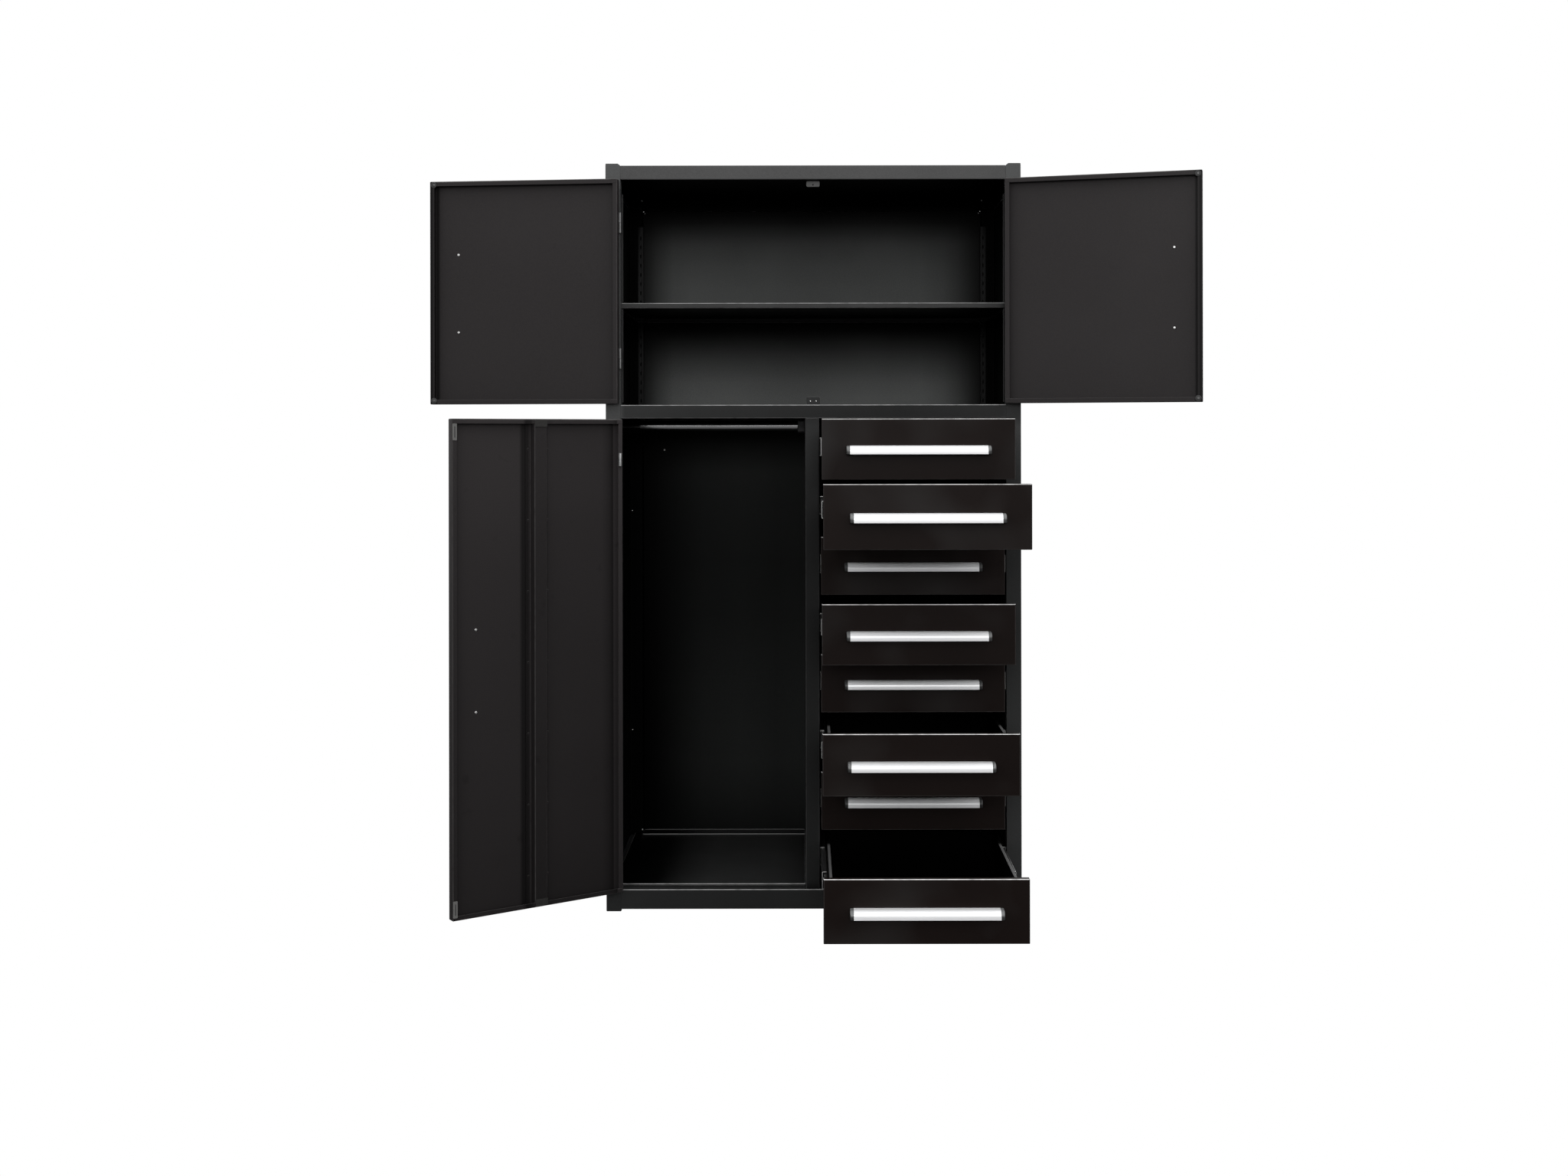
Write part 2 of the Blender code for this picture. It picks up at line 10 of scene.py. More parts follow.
import bmesh
import bpy
from mathutils import Matrix, Vector


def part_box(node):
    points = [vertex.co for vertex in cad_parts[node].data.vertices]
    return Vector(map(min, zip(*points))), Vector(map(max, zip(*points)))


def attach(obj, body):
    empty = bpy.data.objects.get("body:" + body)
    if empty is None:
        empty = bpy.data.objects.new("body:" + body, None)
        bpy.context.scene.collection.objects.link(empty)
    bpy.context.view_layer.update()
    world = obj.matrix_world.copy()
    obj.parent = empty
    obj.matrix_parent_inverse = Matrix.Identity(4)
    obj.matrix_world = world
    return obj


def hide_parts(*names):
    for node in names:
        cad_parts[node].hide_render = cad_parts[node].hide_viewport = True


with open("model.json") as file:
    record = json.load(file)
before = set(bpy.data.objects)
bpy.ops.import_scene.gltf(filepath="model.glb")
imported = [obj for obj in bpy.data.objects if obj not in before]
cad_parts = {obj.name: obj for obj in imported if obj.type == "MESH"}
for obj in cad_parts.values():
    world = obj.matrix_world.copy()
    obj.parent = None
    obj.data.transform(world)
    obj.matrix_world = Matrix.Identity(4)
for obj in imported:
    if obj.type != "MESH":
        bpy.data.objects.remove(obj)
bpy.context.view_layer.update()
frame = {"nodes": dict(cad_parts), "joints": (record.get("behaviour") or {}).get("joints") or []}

# Sheet metal: thickness, bend radii, bevels, and the gaps that keep neighbours apart
SHEET = 0.0015
FOLD = 0.0024
FOLD_STEPS = 3
CORNER = 0.0022
CORNER_STEPS = 3
EDGE = 0.0003
FLUSH = 0.0004
GAP = 0.0003
TINY = 0.00015
HAIR = 0.00004
WELD_LIMIT = 0.00001
SMOOTH_ANGLE = 50
SHARP_ANGLE = 40

# The frame's own sizes
POST_LOW, POST_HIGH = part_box("post_rear_left")
POST = POST_HIGH[0] - POST_LOW[0]
HALF_WIDTH = -POST_LOW[0]
INNER_X = HALF_WIDTH - POST
HEIGHT = POST_HIGH[2]
(_x, FRONT, TOP_BOTTOM), (_x, REAR, TOP_LEVEL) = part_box("top_panel")
DECK_BOTTOM, DECK_TOP = (corner[2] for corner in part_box("mid_deck"))
SHELF_BOTTOM, SHELF_TOP = (corner[2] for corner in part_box("shelf"))
BACK_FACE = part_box("back_panel")[0][1]
FLANGE_LIP = 0.012
FLOOR_LIP = 0.008
POST_SLANT = 0.0065
POST_CORNER = 0.0026
POST_WALL = 0.0025
SIDES = (("left", -1), ("right", 1))
JOINTS = {joint["name"]: joint for joint in frame["joints"]}

# Small fittings of the carcass: shelf standards, bolts, flange strips
STANDARD_PITCH = 0.025
STANDARD_SHEET = 0.0016
STANDARD_SLOT = 0.01
STANDARD_RIB = 0.004
CORNER_BOLT_X = 0.466
SIDE_BOLT_X = 0.493
FLANGE_STRIP = 0.0014

# Doors, each from its hinge pin
DOOR_SKIN = 0.006
DOOR_DEPTH = 0.022
DOOR_LIP = 0.0112
DOOR_START = {"door_upper_left": 0.0008, "door_upper_right": 0.0008, "door_tall": 0.0085}
DOOR_REACH = {"door_upper_left": 0.461, "door_upper_right": 0.461, "door_tall": 0.441}
DOOR_SIDE = {"door_upper_left": -1, "door_upper_right": 1, "door_tall": -1}
UPPER_HINGES = (1.330, 1.656)
TALL_HINGES = (0.17, 0.62, 1.072)
KNUCKLE_RADIUS = 0.0036
KNUCKLE_HEIGHT = 0.025
LEAF_SHEET = 0.0022
LEAF_WIDTH = 0.016
LEAF_CORNER = 0.002
PIN_RADIUS = 0.0025
BORE_RADIUS = 0.0028
BUMPER_INSET = 0.0098
BUMPER_LEVEL = 0.0085
PAD_HALF = 0.019
PAD_SHEET = 0.0016
PAD_SLOT_HALF = 0.013
LAP_SHEET = 0.0009
STRAP_SHEET = 0.0011
STIFFENER_OFFSET = 0.222
STIFFENER_WIDTH = 0.062
STIFFENER_DEPTH = 0.018
STIFFENER_BRIM = 0.0145
STIFFENER_FLARE = 0.0016
STIFFENER_FOLD = 0.002
WELDS = 7
WELD_START = 0.07
WELD_SIZE = 0.0026
WELD_SPREAD = 0.0005
WELD_SEED = 4
HANDLE_INSET = 0.065
UPPER_HANDLE_LEVEL = 1.489
TALL_HANDLE_LEVEL = 0.61
DOOR_HANDLE = 0.21
PULL_SCREW_OFFSET = 0.094

# Handles; the hood stands a little lower and shorter than the room the frame gives it
HANDLE_DEPTH = 0.026
HANDLE_HEIGHT = 0.022
HANDLE_WALL = 0.0025
HANDLE_ROUND = 0.013
HANDLE_CAP = 0.0078
HANDLE_LESS = 0.0014
HANDLE_TRIM = 0.004
HANDLE_STEPS = 12
DRAWER_HANDLE = 0.334

# Drawers
DRAWERS = 8
SHADED_DRAWERS = (2, 4, 6)
UPPER_DRAWERS = 3
FRONT_WIDTH = 0.443
FRONT_HEIGHT = 0.1399
FRONT_DEPTH = 0.016
FRONT_LIP = 0.01
BOX_WIDTH = 0.416
BOX_LENGTH = 0.545
BOX_SHEET = 0.0012
BOX_ROLL = 0.007
BOX_BELOW_FRONT = 0.024
BOX_ABOVE_BOTTOM = 0.0075
SLIDE_CENTRE = 0.004
SLIDE_SHEET = 0.0012
SLIDE_START = 0.018
SLIDE_LENGTH = 0.5
NOSE = 0.0016
NOSE_GAP = 0.0002
INNER_RAIL = 0.03
MIDDLE_RAIL = 0.04
OUTER_RAIL = 0.044
RAIL_ARM = 0.01
OUTER_RAIL_ARM = 0.0107
RAIL_SPACE = 0.0027


# ---- outlines ----

def rectangle(low_a, low_b, high_a, high_b):
    return [(low_a, low_b), (high_a, low_b), (high_a, high_b), (low_a, high_b)]


def span(side, near, far):
    """The lower and the upper of two places on one side of the middle."""
    return sorted((side * near, side * far))


def circle(radius, steps, centre=(0, 0)):
    turns = [2 * math.pi * step / steps for step in range(steps)]
    return [(centre[0] + radius * math.cos(turn), centre[1] + radius * math.sin(turn)) for turn in turns]


def arc(centre, radius, start, end, steps):
    turns = [math.radians(start + (end - start) * step / steps) for step in range(steps + 1)]
    return [(centre[0] + radius * math.cos(turn), centre[1] + radius * math.sin(turn)) for turn in turns]


def notched(half_width, near, far, near_notch, far_notch):
    front_x = half_width - near_notch[0]
    rear_x = half_width - far_notch[0]
    front_y = near + near_notch[1]
    rear_y = far - far_notch[1]
    return [(-front_x, near), (front_x, near), (front_x, front_y), (half_width, front_y),
        (half_width, rear_y), (rear_x, rear_y), (rear_x, far), (-rear_x, far), (-rear_x, rear_y),
        (-half_width, rear_y), (-half_width, front_y), (-front_x, front_y)]


def corner_frame(outline, index):
    """One corner's place, the inward normals before and after it, and its turn."""
    here = Vector(outline[index])
    arriving = (here - Vector(outline[index - 1])).normalized()
    leaving = (Vector(outline[(index + 1) % len(outline)]) - here).normalized()
    turn = math.atan2(arriving.x * leaving.y - arriving.y * leaving.x, arriving.dot(leaving))
    return here, Vector((-arriving.y, arriving.x)), Vector((-leaving.y, leaving.x)), turn


def corner_frames(outline):
    return [corner_frame(outline, index) for index in range(len(outline))]


def inset(outline, distance):
    """Every edge moved inwards; the outline runs anticlockwise."""
    return [tuple(here + (before + after) * distance / (1 + before.dot(after)))
        for here, before, after, _turn in corner_frames(outline)]


def rounded(outline, distance, radius, steps=CORNER_STEPS):
    """The inset outline with its corners rounded about the same centres; one radius, or one each."""
    points = []
    sizes = radius if isinstance(radius, (list, tuple)) else [radius] * len(outline)
    for (here, before, after, turn), own in zip(corner_frames(outline), sizes):
        bow = 1 if turn > 0 else -1
        size = max(own - bow * distance, TINY)
        spread = (before + after) / (1 + before.dot(after))
        centre = here + spread * (distance + bow * size)
        start = math.atan2(-bow * before.y, -bow * before.x)
        for step in range(steps + 1):
            angle = start + turn * step / steps
            points.append((centre.x + size * math.cos(angle), centre.y + size * math.sin(angle)))
    return points


def soft_rectangle(low_a, low_b, high_a, high_b, radius):
    return rounded(rectangle(low_a, low_b, high_a, high_b), 0, radius)


def bent(points, sheet, radius):
    """Outline of a sheet bent along a line of points that runs down its middle."""
    sides = {1: [], -1: []}
    for index, point in enumerate(points):
        here = Vector(point)
        if index in (0, len(points) - 1):
            other = Vector(points[1] if index == 0 else points[-2])
            along = (other - here if index == 0 else here - other).normalized()
            normal = Vector((-along.y, along.x))
            for bow in sides:
                sides[bow].append(tuple(here + normal * bow * sheet / 2))
            continue
        here, before, after, turn = corner_frame(points, index)
        inner = 1 if turn > 0 else -1
        centre = here + (before + after) / (1 + before.dot(after)) * radius * inner
        start = math.atan2(-inner * before.y, -inner * before.x)
        for bow in sides:
            size = radius - sheet / 2 if bow == inner else radius + sheet / 2
            for step in range(FOLD_STEPS + 1):
                angle = start + turn * step / FOLD_STEPS
                sides[bow].append((centre.x + size * math.cos(angle), centre.y + size * math.sin(angle)))
    return sides[-1] + sides[1][::-1]


def facing_down(level):
    return lambda a, b, t: (a, b, level - t)


def facing_up(level):
    return lambda a, b, t: (a, b, level + t)


def facing_back(plane):
    return lambda a, b, t: (a, plane + t, b)


def facing_front(plane):
    return lambda a, b, t: (a, plane - t, b)


def along_x(start):
    return lambda a, b, t: (start + t, a, b)


def along_y(start):
    return lambda a, b, t: (a, start + t, b)


# ---- meshes ----

def chain_mesh(rings, closed=False):
    """A mesh from a chain of rings; an open chain is capped at both ends."""
    shape = bmesh.new()
    loops = [[shape.verts.new(point) for point in ring] for ring in rings]
    for first, second in zip(loops, loops[1:] + (loops[:1] if closed else [])):
        for index in range(len(first)):
            following = (index + 1) % len(first)
            shape.faces.new((first[index], first[following], second[following], second[index]))
    if not closed:
        shape.faces.new(loops[0])
        shape.faces.new(loops[-1])
    bmesh.ops.recalc_face_normals(shape, faces=shape.faces)
    mesh = bpy.data.meshes.new("shape")
    shape.to_mesh(mesh)
    shape.free()
    return mesh


def pan(outline, depth, lip, sheet, place, fold=FOLD, corner=CORNER):
    """Folded sheet: a skin at t = 0, a rounded flange all round and a lip turned in at its end."""
    tight = max(fold - sheet, TINY)
    turns = [math.radians(90 * step / FOLD_STEPS) for step in range(FOLD_STEPS + 1)]
    steps = [(fold * (1 - math.sin(turn)), fold * (1 - math.cos(turn))) for turn in turns]
    if lip > sheet:
        steps += [(fold * (1 - math.cos(turn)), depth - fold * (1 - math.sin(turn))) for turn in turns]
        steps += [(lip - EDGE, depth), (lip, depth - EDGE), (lip, depth - sheet + EDGE),
            (lip - EDGE, depth - sheet)]
        steps += [(fold - tight * math.sin(turn), depth - fold + tight * math.cos(turn)) for turn
            in turns]
    else:
        steps += [(0, depth - EDGE), (EDGE, depth), (sheet - EDGE, depth), (sheet, depth - EDGE)]
    steps += [(fold - tight * math.cos(turn), fold - tight * math.sin(turn)) for turn in turns]
    return chain_mesh([[place(a, b, t) for a, b in rounded(outline, distance, corner)] for distance, t
        in steps])


def prism(outline, thickness, place, edge=EDGE):
    """A straight solid whose two ends have a small bevel."""
    steps = ((edge, 0), (0, edge), (0, thickness - edge), (edge, thickness))
    return chain_mesh([[place(a, b, t) for a, b in inset(outline, distance)] for distance, t in steps])


def turned(profile, place, steps=24):
    """A turned solid from (radius, height) pairs."""
    return chain_mesh([[place(a, b, height) for a, b in circle(radius, steps)] for radius, height
        in profile])


def plate_mesh(outline, holes, thickness, place):
    """A flat plate with holes and bevelled edges; its skin is at t = 0."""
    curve = bpy.data.curves.new("plate", "CURVE")
    curve.dimensions = "2D"
    curve.fill_mode = "BOTH"
    curve.extrude = thickness / 2 - EDGE
    curve.bevel_depth = EDGE
    curve.bevel_resolution = 0
    curve.offset = -EDGE
    for ring in [outline] + holes:
        spline = curve.splines.new("POLY")
        spline.points.add(len(ring) - 1)
        for point, (a, b) in zip(spline.points, ring):
            point.co = (a, b, 0, 1)
        spline.use_cyclic_u = True
    holder = bpy.data.objects.new("plate", curve)
    bpy.context.scene.collection.objects.link(holder)
    mesh = bpy.data.meshes.new_from_object(holder.evaluated_get(bpy.context.evaluated_depsgraph_get()))
    bpy.data.objects.remove(holder, do_unlink=True)
    bpy.data.curves.remove(curve)
    for vertex in mesh.vertices:
        vertex.co = place(vertex.co.x, vertex.co.y, vertex.co.z + thickness / 2)
    shape = bmesh.new()
    shape.from_mesh(mesh)
    bmesh.ops.remove_doubles(shape, verts=shape.verts, dist=WELD_LIMIT)
    bmesh.ops.recalc_face_normals(shape, faces=shape.faces)
    shape.to_mesh(mesh)
    shape.free()
    return mesh


def join_meshes(meshes):
    shape = bmesh.new()
    for mesh in meshes:
        shape.from_mesh(mesh)
    joined = bpy.data.meshes.new("joined")
    shape.to_mesh(joined)
    shape.free()
    return joined


def moved(mesh, matrix):
    copy = mesh.copy()
    copy.transform(matrix)
    return copy


def shifted(mesh, place):
    return moved(mesh, Matrix.Translation(place))


# ---- materials ----

PIECE_SHIFT = 7.0
ZINC_METALLIC = 0.85
ACROSS_LINES = 900.0
ALONG_LINES = 6.0


class Nodes:
    """Short calls for one material's node tree."""

    def __init__(self, name):
        self.material = bpy.data.materials.new(name)
        self.material.use_nodes = True
        self.tree = self.material.node_tree
        self.shader = self.tree.nodes["Principled BSDF"]
        self.coordinates = self.add("ShaderNodeTexCoord").outputs["Object"]
        own = self.add("ShaderNodeObjectInfo").outputs["Random"]
        shift = self.math("MULTIPLY", own, PIECE_SHIFT)
        self.place = self.add("ShaderNodeVectorMath", {0: self.coordinates, 1: shift}).outputs[0]

    def give(self, socket, value):
        """Link another node's output to a socket, or set a constant on it."""
        if isinstance(value, bpy.types.NodeSocket):
            self.tree.links.new(value, socket)
        else:
            socket.default_value = value

    def feed(self, name, value):
        self.give(self.shader.inputs[name], value)

    def add(self, kind, inputs=(), operation=None):
        node = self.tree.nodes.new(kind)
        if kind == "ShaderNodeMix":
            node.data_type = "RGBA"
        if operation:
            node.operation = operation
        for key, value in dict(inputs).items():
            self.give(node.inputs[key], value)
        return node

    def math(self, operation, first, second):
        return self.add("ShaderNodeMath", {0: first, 1: second}, operation).outputs[0]

    def stretched(self, scale):
        return self.add("ShaderNodeMapping", {"Vector": self.place, "Scale": scale}).outputs[0]

    def noise(self, scale, detail=2.0, vector=None, roughness=0.5):
        return self.add("ShaderNodeTexNoise", {"Vector": vector or self.place, "Scale": scale,
            "Detail": detail, "Roughness": roughness}).outputs["Fac"]

    def ranged(self, source, low, high, new_low, new_high):
        return self.add("ShaderNodeMapRange", {"Value": source, "From Min": low, "From Max": high,
            "To Min": new_low, "To Max": new_high}).outputs[0]

    def blend(self, factor, first, second):
        first, second = [(*tone, 1) if isinstance(tone, tuple) else tone for tone in (first, second)]
        return self.add("ShaderNodeMix", {"Factor": factor, 6: first, 7: second}).outputs[2]

    def times(self, colour, factor):
        return self.add("ShaderNodeVectorMath", {0: colour, "Scale": factor}, "SCALE").outputs[0]

    def bump(self, height, strength, distance, after=None):
        inputs = {"Strength": strength, "Distance": distance, "Height": height}
        if after:
            inputs["Normal"] = after
        return self.add("ShaderNodeBump", inputs).outputs[0]

    def along(self, vector, axis):
        return self.add("ShaderNodeSeparateXYZ", {0: vector}).outputs[axis]

    def facing(self, axis, low, high):
        """0 below one share of the piece's own axis in the face's direction, 1 above another."""
        normal = self.add("ShaderNodeTexCoord").outputs["Normal"]
        return self.ranged(self.along(normal, axis), low, high, 0, 1)

    def ramp(self, axis, stops):
        """A factor that follows the piece's own X, Y or Z through (place, factor) stops."""
        start, end = stops[0][0], stops[-1][0]
        share = self.ranged(self.along(self.coordinates, axis), start, end, 0, 1)
        node = self.add("ShaderNodeValToRGB", {0: share})
        elements = node.color_ramp.elements
        for place, _factor in stops[1:-1]:
            elements.new((place - start) / (end - start))
        for element, (_place, factor) in zip(elements, stops):
            element.color = (*grey(factor), 1)
        return self.along(node.outputs[0], "X")


def grey(value):
    return value, value, value


def scaled(colour, factor):
    return tuple(channel * factor for channel in colour)


def powder_coat(name, colour, roughness=0.38, mottle=0.12, peel=0.1, smudges=0.0, gloss=0.08, edge=None,
        bright=(1.0, 0.3, 0.06), sheen_patches=None, fades=(), most=None, under=None, plain=()):
    """Baked powder coat: fine orange peel, a cloudy mottle, handling marks, optional pale patches of
    painted sheen, painted highlights on the folds, painted shade on faces that look down, and ramps of
    painted light and shade along the piece.
    """
    made = Nodes(name)
    cloud = made.noise(3.1, 3.0)
    grain = made.noise(420.0, 1.0)
    tone = made.blend(made.ranged(cloud, 0.3, 0.7, 0, 1), scaled(colour, 1 - mottle),
        scaled(colour, 1 + mottle))
    tone = made.blend(made.ranged(grain, 0.35, 0.65, 0, 0.35), tone, scaled(colour, 1.35))
    # Pale cloudy patches of a lighter tone: a painted sheen.
    if sheen_patches:
        sheen_tone, low, high = sheen_patches
        tone = made.blend(made.ranged(made.noise(5.2, 1.5), low, high, 0, 1), tone, sheen_tone)
    if smudges:
        mark = made.ranged(made.noise(17.0, 4.0, roughness=0.62), 0.66, 0.74, 0, smudges)
        tone = made.blend(mark, tone, scaled(colour, 0.35))
    # Ramps along the piece's own axes, multiplied and capped at most: painted light and shade.
    factor = None
    for axis, stops in fades:
        here = made.ramp(axis, stops)
        factor = made.math("MULTIPLY", factor, here) if factor else here
    if factor:
        tone = made.times(tone, made.math("MINIMUM", factor, most) if most else factor)
    # Folds whose faces turn part way up, down or sideways are painted lighter: a painted highlight, its
    # share over, below and beside given by bright, broken up by noise.
    if edge:
        highlight_break = made.ranged(made.noise(46.0, 3.0), 0.25, 0.6, 0.45, 1)
        over, below, beside = bright
        for axis, sign, share in (("Z", 1, over), ("Z", -1, below), ("X", 1, beside), ("X", -1, beside)):
            band = made.math("MULTIPLY", made.facing(axis, 0.12 * sign, 0.32 * sign),
                made.facing(axis, 0.97 * sign, 0.86 * sign))
            fold_highlight = made.math("MULTIPLY", made.math("MULTIPLY", band, highlight_break), share)
            tone = made.blend(fold_highlight, tone, edge)
    # Faces that look down are painted darker: painted shade.
    if under is not None:
        tone = made.blend(made.facing("Z", -0.9, -0.97), tone, scaled(colour, under))
    for axis, sign, other in plain:
        tone = made.blend(made.facing(axis, 0.6 * sign, 0.85 * sign), tone, other)
    made.feed("Base Color", tone)
    sheen = made.ranged(made.noise(5.3, 3.0), 0.3, 0.7, roughness - 0.035, roughness + 0.035)
    made.feed("Roughness", sheen)
    peeled = made.bump(made.noise(560.0, 2.0), peel, 0.0004)
    wavy = made.bump(made.noise(9.0, 1.0), 0.05, 0.004, peeled)
    made.feed("Normal", wavy)
    made.feed("Specular IOR Level", gloss)
    return made.material


def drawn_metal(name, colour, roughness, direction, metallic=1.0, depth=0.12):
    """Metal with fine lines drawn along one axis."""
    made = Nodes(name)
    scale = [ACROSS_LINES, ACROSS_LINES, ACROSS_LINES]
    scale[direction] = ALONG_LINES
    lines = made.noise(1.0, 3.0, made.stretched(scale), 0.6)
    tone = made.blend(made.ranged(lines, 0.3, 0.7, 0, 1), scaled(colour, 0.93), colour)
    made.feed("Base Color", tone)
    made.feed("Roughness", made.ranged(lines, 0.3, 0.7, roughness - 0.05, roughness + 0.06))
    made.feed("Normal", made.bump(lines, depth, 0.0002))
    made.feed("Metallic", metallic)
    return made.material


def zinc(name, colour, roughness, ends=None):
    """Passivated zinc: cloudy, with faint roll marks; faces that look forwards get a lighter tone, a
    painted highlight.
    """
    made = Nodes(name)
    cloud = made.noise(60.0, 4.0, roughness=0.65)
    tone = made.blend(made.ranged(cloud, 0.35, 0.65, 0, 1), scaled(colour, 0.72), scaled(colour, 1.08))
    # Faces that look forwards are painted lighter: painted highlight.
    if ends:
        tone = made.blend(made.facing("Y", -0.35, -0.75), tone, ends)
    made.feed("Base Color", tone)
    made.feed("Roughness", made.ranged(cloud, 0.3, 0.7, roughness - 0.06, roughness + 0.1))
    made.feed("Normal", made.bump(made.noise(700.0, 2.0), 0.08, 0.0002))
    made.feed("Metallic", ZINC_METALLIC)
    return made.material


def moulded(name, colour, roughness, spark=900.0, fade=None):
    """Moulded plastic or rubber with a spark-eroded grain."""
    made = Nodes(name)
    grain = made.noise(spark, 2.0)
    tone = made.blend(made.ranged(grain, 0.3, 0.7, 0, 1), scaled(colour, 0.85), scaled(colour, 1.12))
    # An optional ramp in Z of painted light and shade.
    if fade:
        tone = made.times(tone, made.ramp("Z", fade))
    made.feed("Base Color", tone)
    made.feed("Roughness", made.ranged(made.noise(24.0, 2.0), 0.3, 0.7, roughness - 0.05,
        roughness + 0.05))
    made.feed("Normal", made.bump(grain, 0.2, 0.0002))
    return made.material


# Base tones, and the tone that a coat keeps on faces that look one way
PLAIN = (0.0096, 0.0098, 0.0098)
BEHIND = (("Y", 1, PLAIN),)
ABOVE = (("Z", 1, PLAIN),)
DOOR_TONE = (0.027, 0.0242, 0.0247)
# Tone of the painted highlight on the carcass coats' folds
PAINTED_FOLD_HIGHLIGHT = grey(0.36)

# Painted light and shade: how a coat's tone changes along a piece, as (place in metres, factor)
# ACROSS and UP paint the front frame and posts lighter towards their ends, at the middle deck and on the
# top rail, and darker near the floor: painted light and shade.
ACROSS = ((-0.5, 6), (-0.465, 5.4), (-0.455, 2.3), (-0.4, 1.95), (-0.2, 1.42), (0, 1.1), (0.2, 1),
    (0.35, 1.15), (0.455, 1.45), (0.465, 2.2), (0.5, 2.5))
# BASE_ACROSS lifts the bottom rail's tone about twofold, unevenly along it: painted light. FLOOR_ACROSS
# paints the wardrobe floor dark at its left, where the side wall and door cast shade: painted shadow.
BASE_ACROSS = ((-0.5, 2.2), (-0.45, 2), (-0.39, 1.75), (-0.3, 1.9), (-0.12, 1.65), (0, 2.1), (0.5, 2))
FLOOR_ACROSS = ((-0.5, 0.03), (-0.42, 0.15), (-0.38, 0.3), (-0.33, 1.6), (-0.26, 2.9), (-0.1, 2.9),
    (-0.04, 2.1), (0, 1.2))
# OUTER lifts the outer faces of the pieces in SIDE_COAT to the plain coat; their inner faces keep its
# near-black, which is painted shade.
OUTER = ((-0.5, 10), (-0.4994, 10), (-0.4991, 1), (0.4991, 1), (0.4994, 10), (0.5, 10))
UP = ((0, 0.42), (0.055, 0.42), (0.075, 1.3), (0.15, 1.2), (0.35, 1.15), (0.55, 0.95), (0.72, 0.8),
    (0.9, 0.8), (1.03, 1), (1.1, 1.5), (1.165, 1.9), (1.186, 1.1), (1.74, 1.1), (1.762, 8), (1.8, 8))
# TALL_UP paints the tall door darker towards the floor; TALL_ACROSS paints dark bands near its hinge
# edge and beside the stiffener: painted light from above and painted shadow.
TALL_UP = ((0.05, 0.56), (0.3, 0.66), (0.52, 0.72), (0.8, 0.84), (1, 0.98), (1.19, 1.07))
TALL_ACROSS = ((0, 1.25), (0.023, 1.2), (0.0245, 0.4), (0.034, 0.62), (0.055, 0.86), (0.19, 0.88),
    (0.2, 0.74), (0.2445, 0.7), (0.2465, 0.36), (0.261, 0.3), (0.268, 0.98), (0.4, 1), (0.45, 0.82))
# BACK_UP and BACK_ACROSS paint the upper back sheet dark just under the top, just under the shelf and
# towards its sides; LOWER_UP and LOWER_ACROSS do the same for the wardrobe's back: painted shadow and
# painted light.
BACK_UP = ((1.2, 4.3), (1.25, 4.3), (1.29, 3.7), (1.34, 2), (1.38, 1), (1.41, 0.35), (1.43, 0.04),
    (1.455, 0), (1.47, 3.1), (1.55, 2.95), (1.61, 2.5), (1.66, 1.75), (1.7, 0.85), (1.73, 0.22),
    (1.75, 0.04), (1.76, 0))
BACK_ACROSS = ((-0.465, 0.12), (-0.445, 0.3), (-0.41, 0.8), (-0.38, 1.2), (-0.33, 1.3), (-0.15, 1.1),
    (0, 1), (0.3, 1.2), (0.36, 1), (0.4, 0.62), (0.44, 0.22), (0.465, 0.06))
LOWER_UP = ((0.05, 1), (0.12, 1.5), (0.25, 2.4), (0.45, 2.3), (0.65, 1.5), (0.8, 1.35), (0.95, 1.9),
    (1.05, 2.6), (1.12, 1.9), (1.19, 0.3))
LOWER_ACROSS = ((-0.465, 0), (-0.43, 0.1), (-0.38, 0.42), (-0.3, 0.95), (-0.2, 1.15), (-0.1, 1.05),
    (-0.02, 1.5), (0.465, 0.5))
# TRAY_UP paints the drawer box dark inside and light on its rolled rims; SHORT_TRAY and LONG_TRAY darken
# the box from about where it passes into the cabinet: painted shade, painted light and painted shadow.
TRAY_UP = ((-0.07, 0.12), (0.0445, 0.16), (0.0456, 9), (0.05, 9))
SHORT_TRAY = ((0, 1), (0.235, 1), (0.26, 0.02), (0.5, 0))
LONG_TRAY = ((0, 1), (0.395, 1), (0.42, 0.02), (0.5, 0))
# RIM_ACROSS paints dark bands along the upper doors' free-edge rims: painted shade under and beside the
# lips.
RIM_ACROSS = ((-0.456, 0.1), (-0.455, 0.64), (-0.45, 0.64), (-0.4495, 0.25), (-0.4445, 0.25),
    (-0.443, 0.95), (0.443, 0.95), (0.4445, 0.25), (0.4495, 0.25), (0.45, 0.64), (0.455, 0.64),
    (0.456, 0.1))
# CAP_UP paints the handle caps light on top and dark below: painted light and shade.
CAP_UP = ((-0.012, 0.12), (-0.004, 0.18), (0.001, 1.1), (0.012, 1.1))

# Carcass coats: painted fold highlights, ramps of painted light and shade, and painted shade on faces
# that look down.
COAT = powder_coat("coat_carcass", PLAIN, edge=PAINTED_FOLD_HIGHLIGHT, fades=(("X", ACROSS), ("Z", UP)), most=8,
    under=0.1, plain=BEHIND)
POST_COAT = powder_coat("coat_post", PLAIN, fades=(("X", ACROSS), ("Z", UP)), most=8, plain=BEHIND)
BASE_COAT = powder_coat("coat_base", PLAIN, edge=PAINTED_FOLD_HIGHLIGHT, fades=(("X", BASE_ACROSS),), plain=BEHIND)
FLOOR_COAT = powder_coat("coat_floor", PLAIN, edge=PAINTED_FOLD_HIGHLIGHT, gloss=0.03, fades=(("X", FLOOR_ACROSS),))
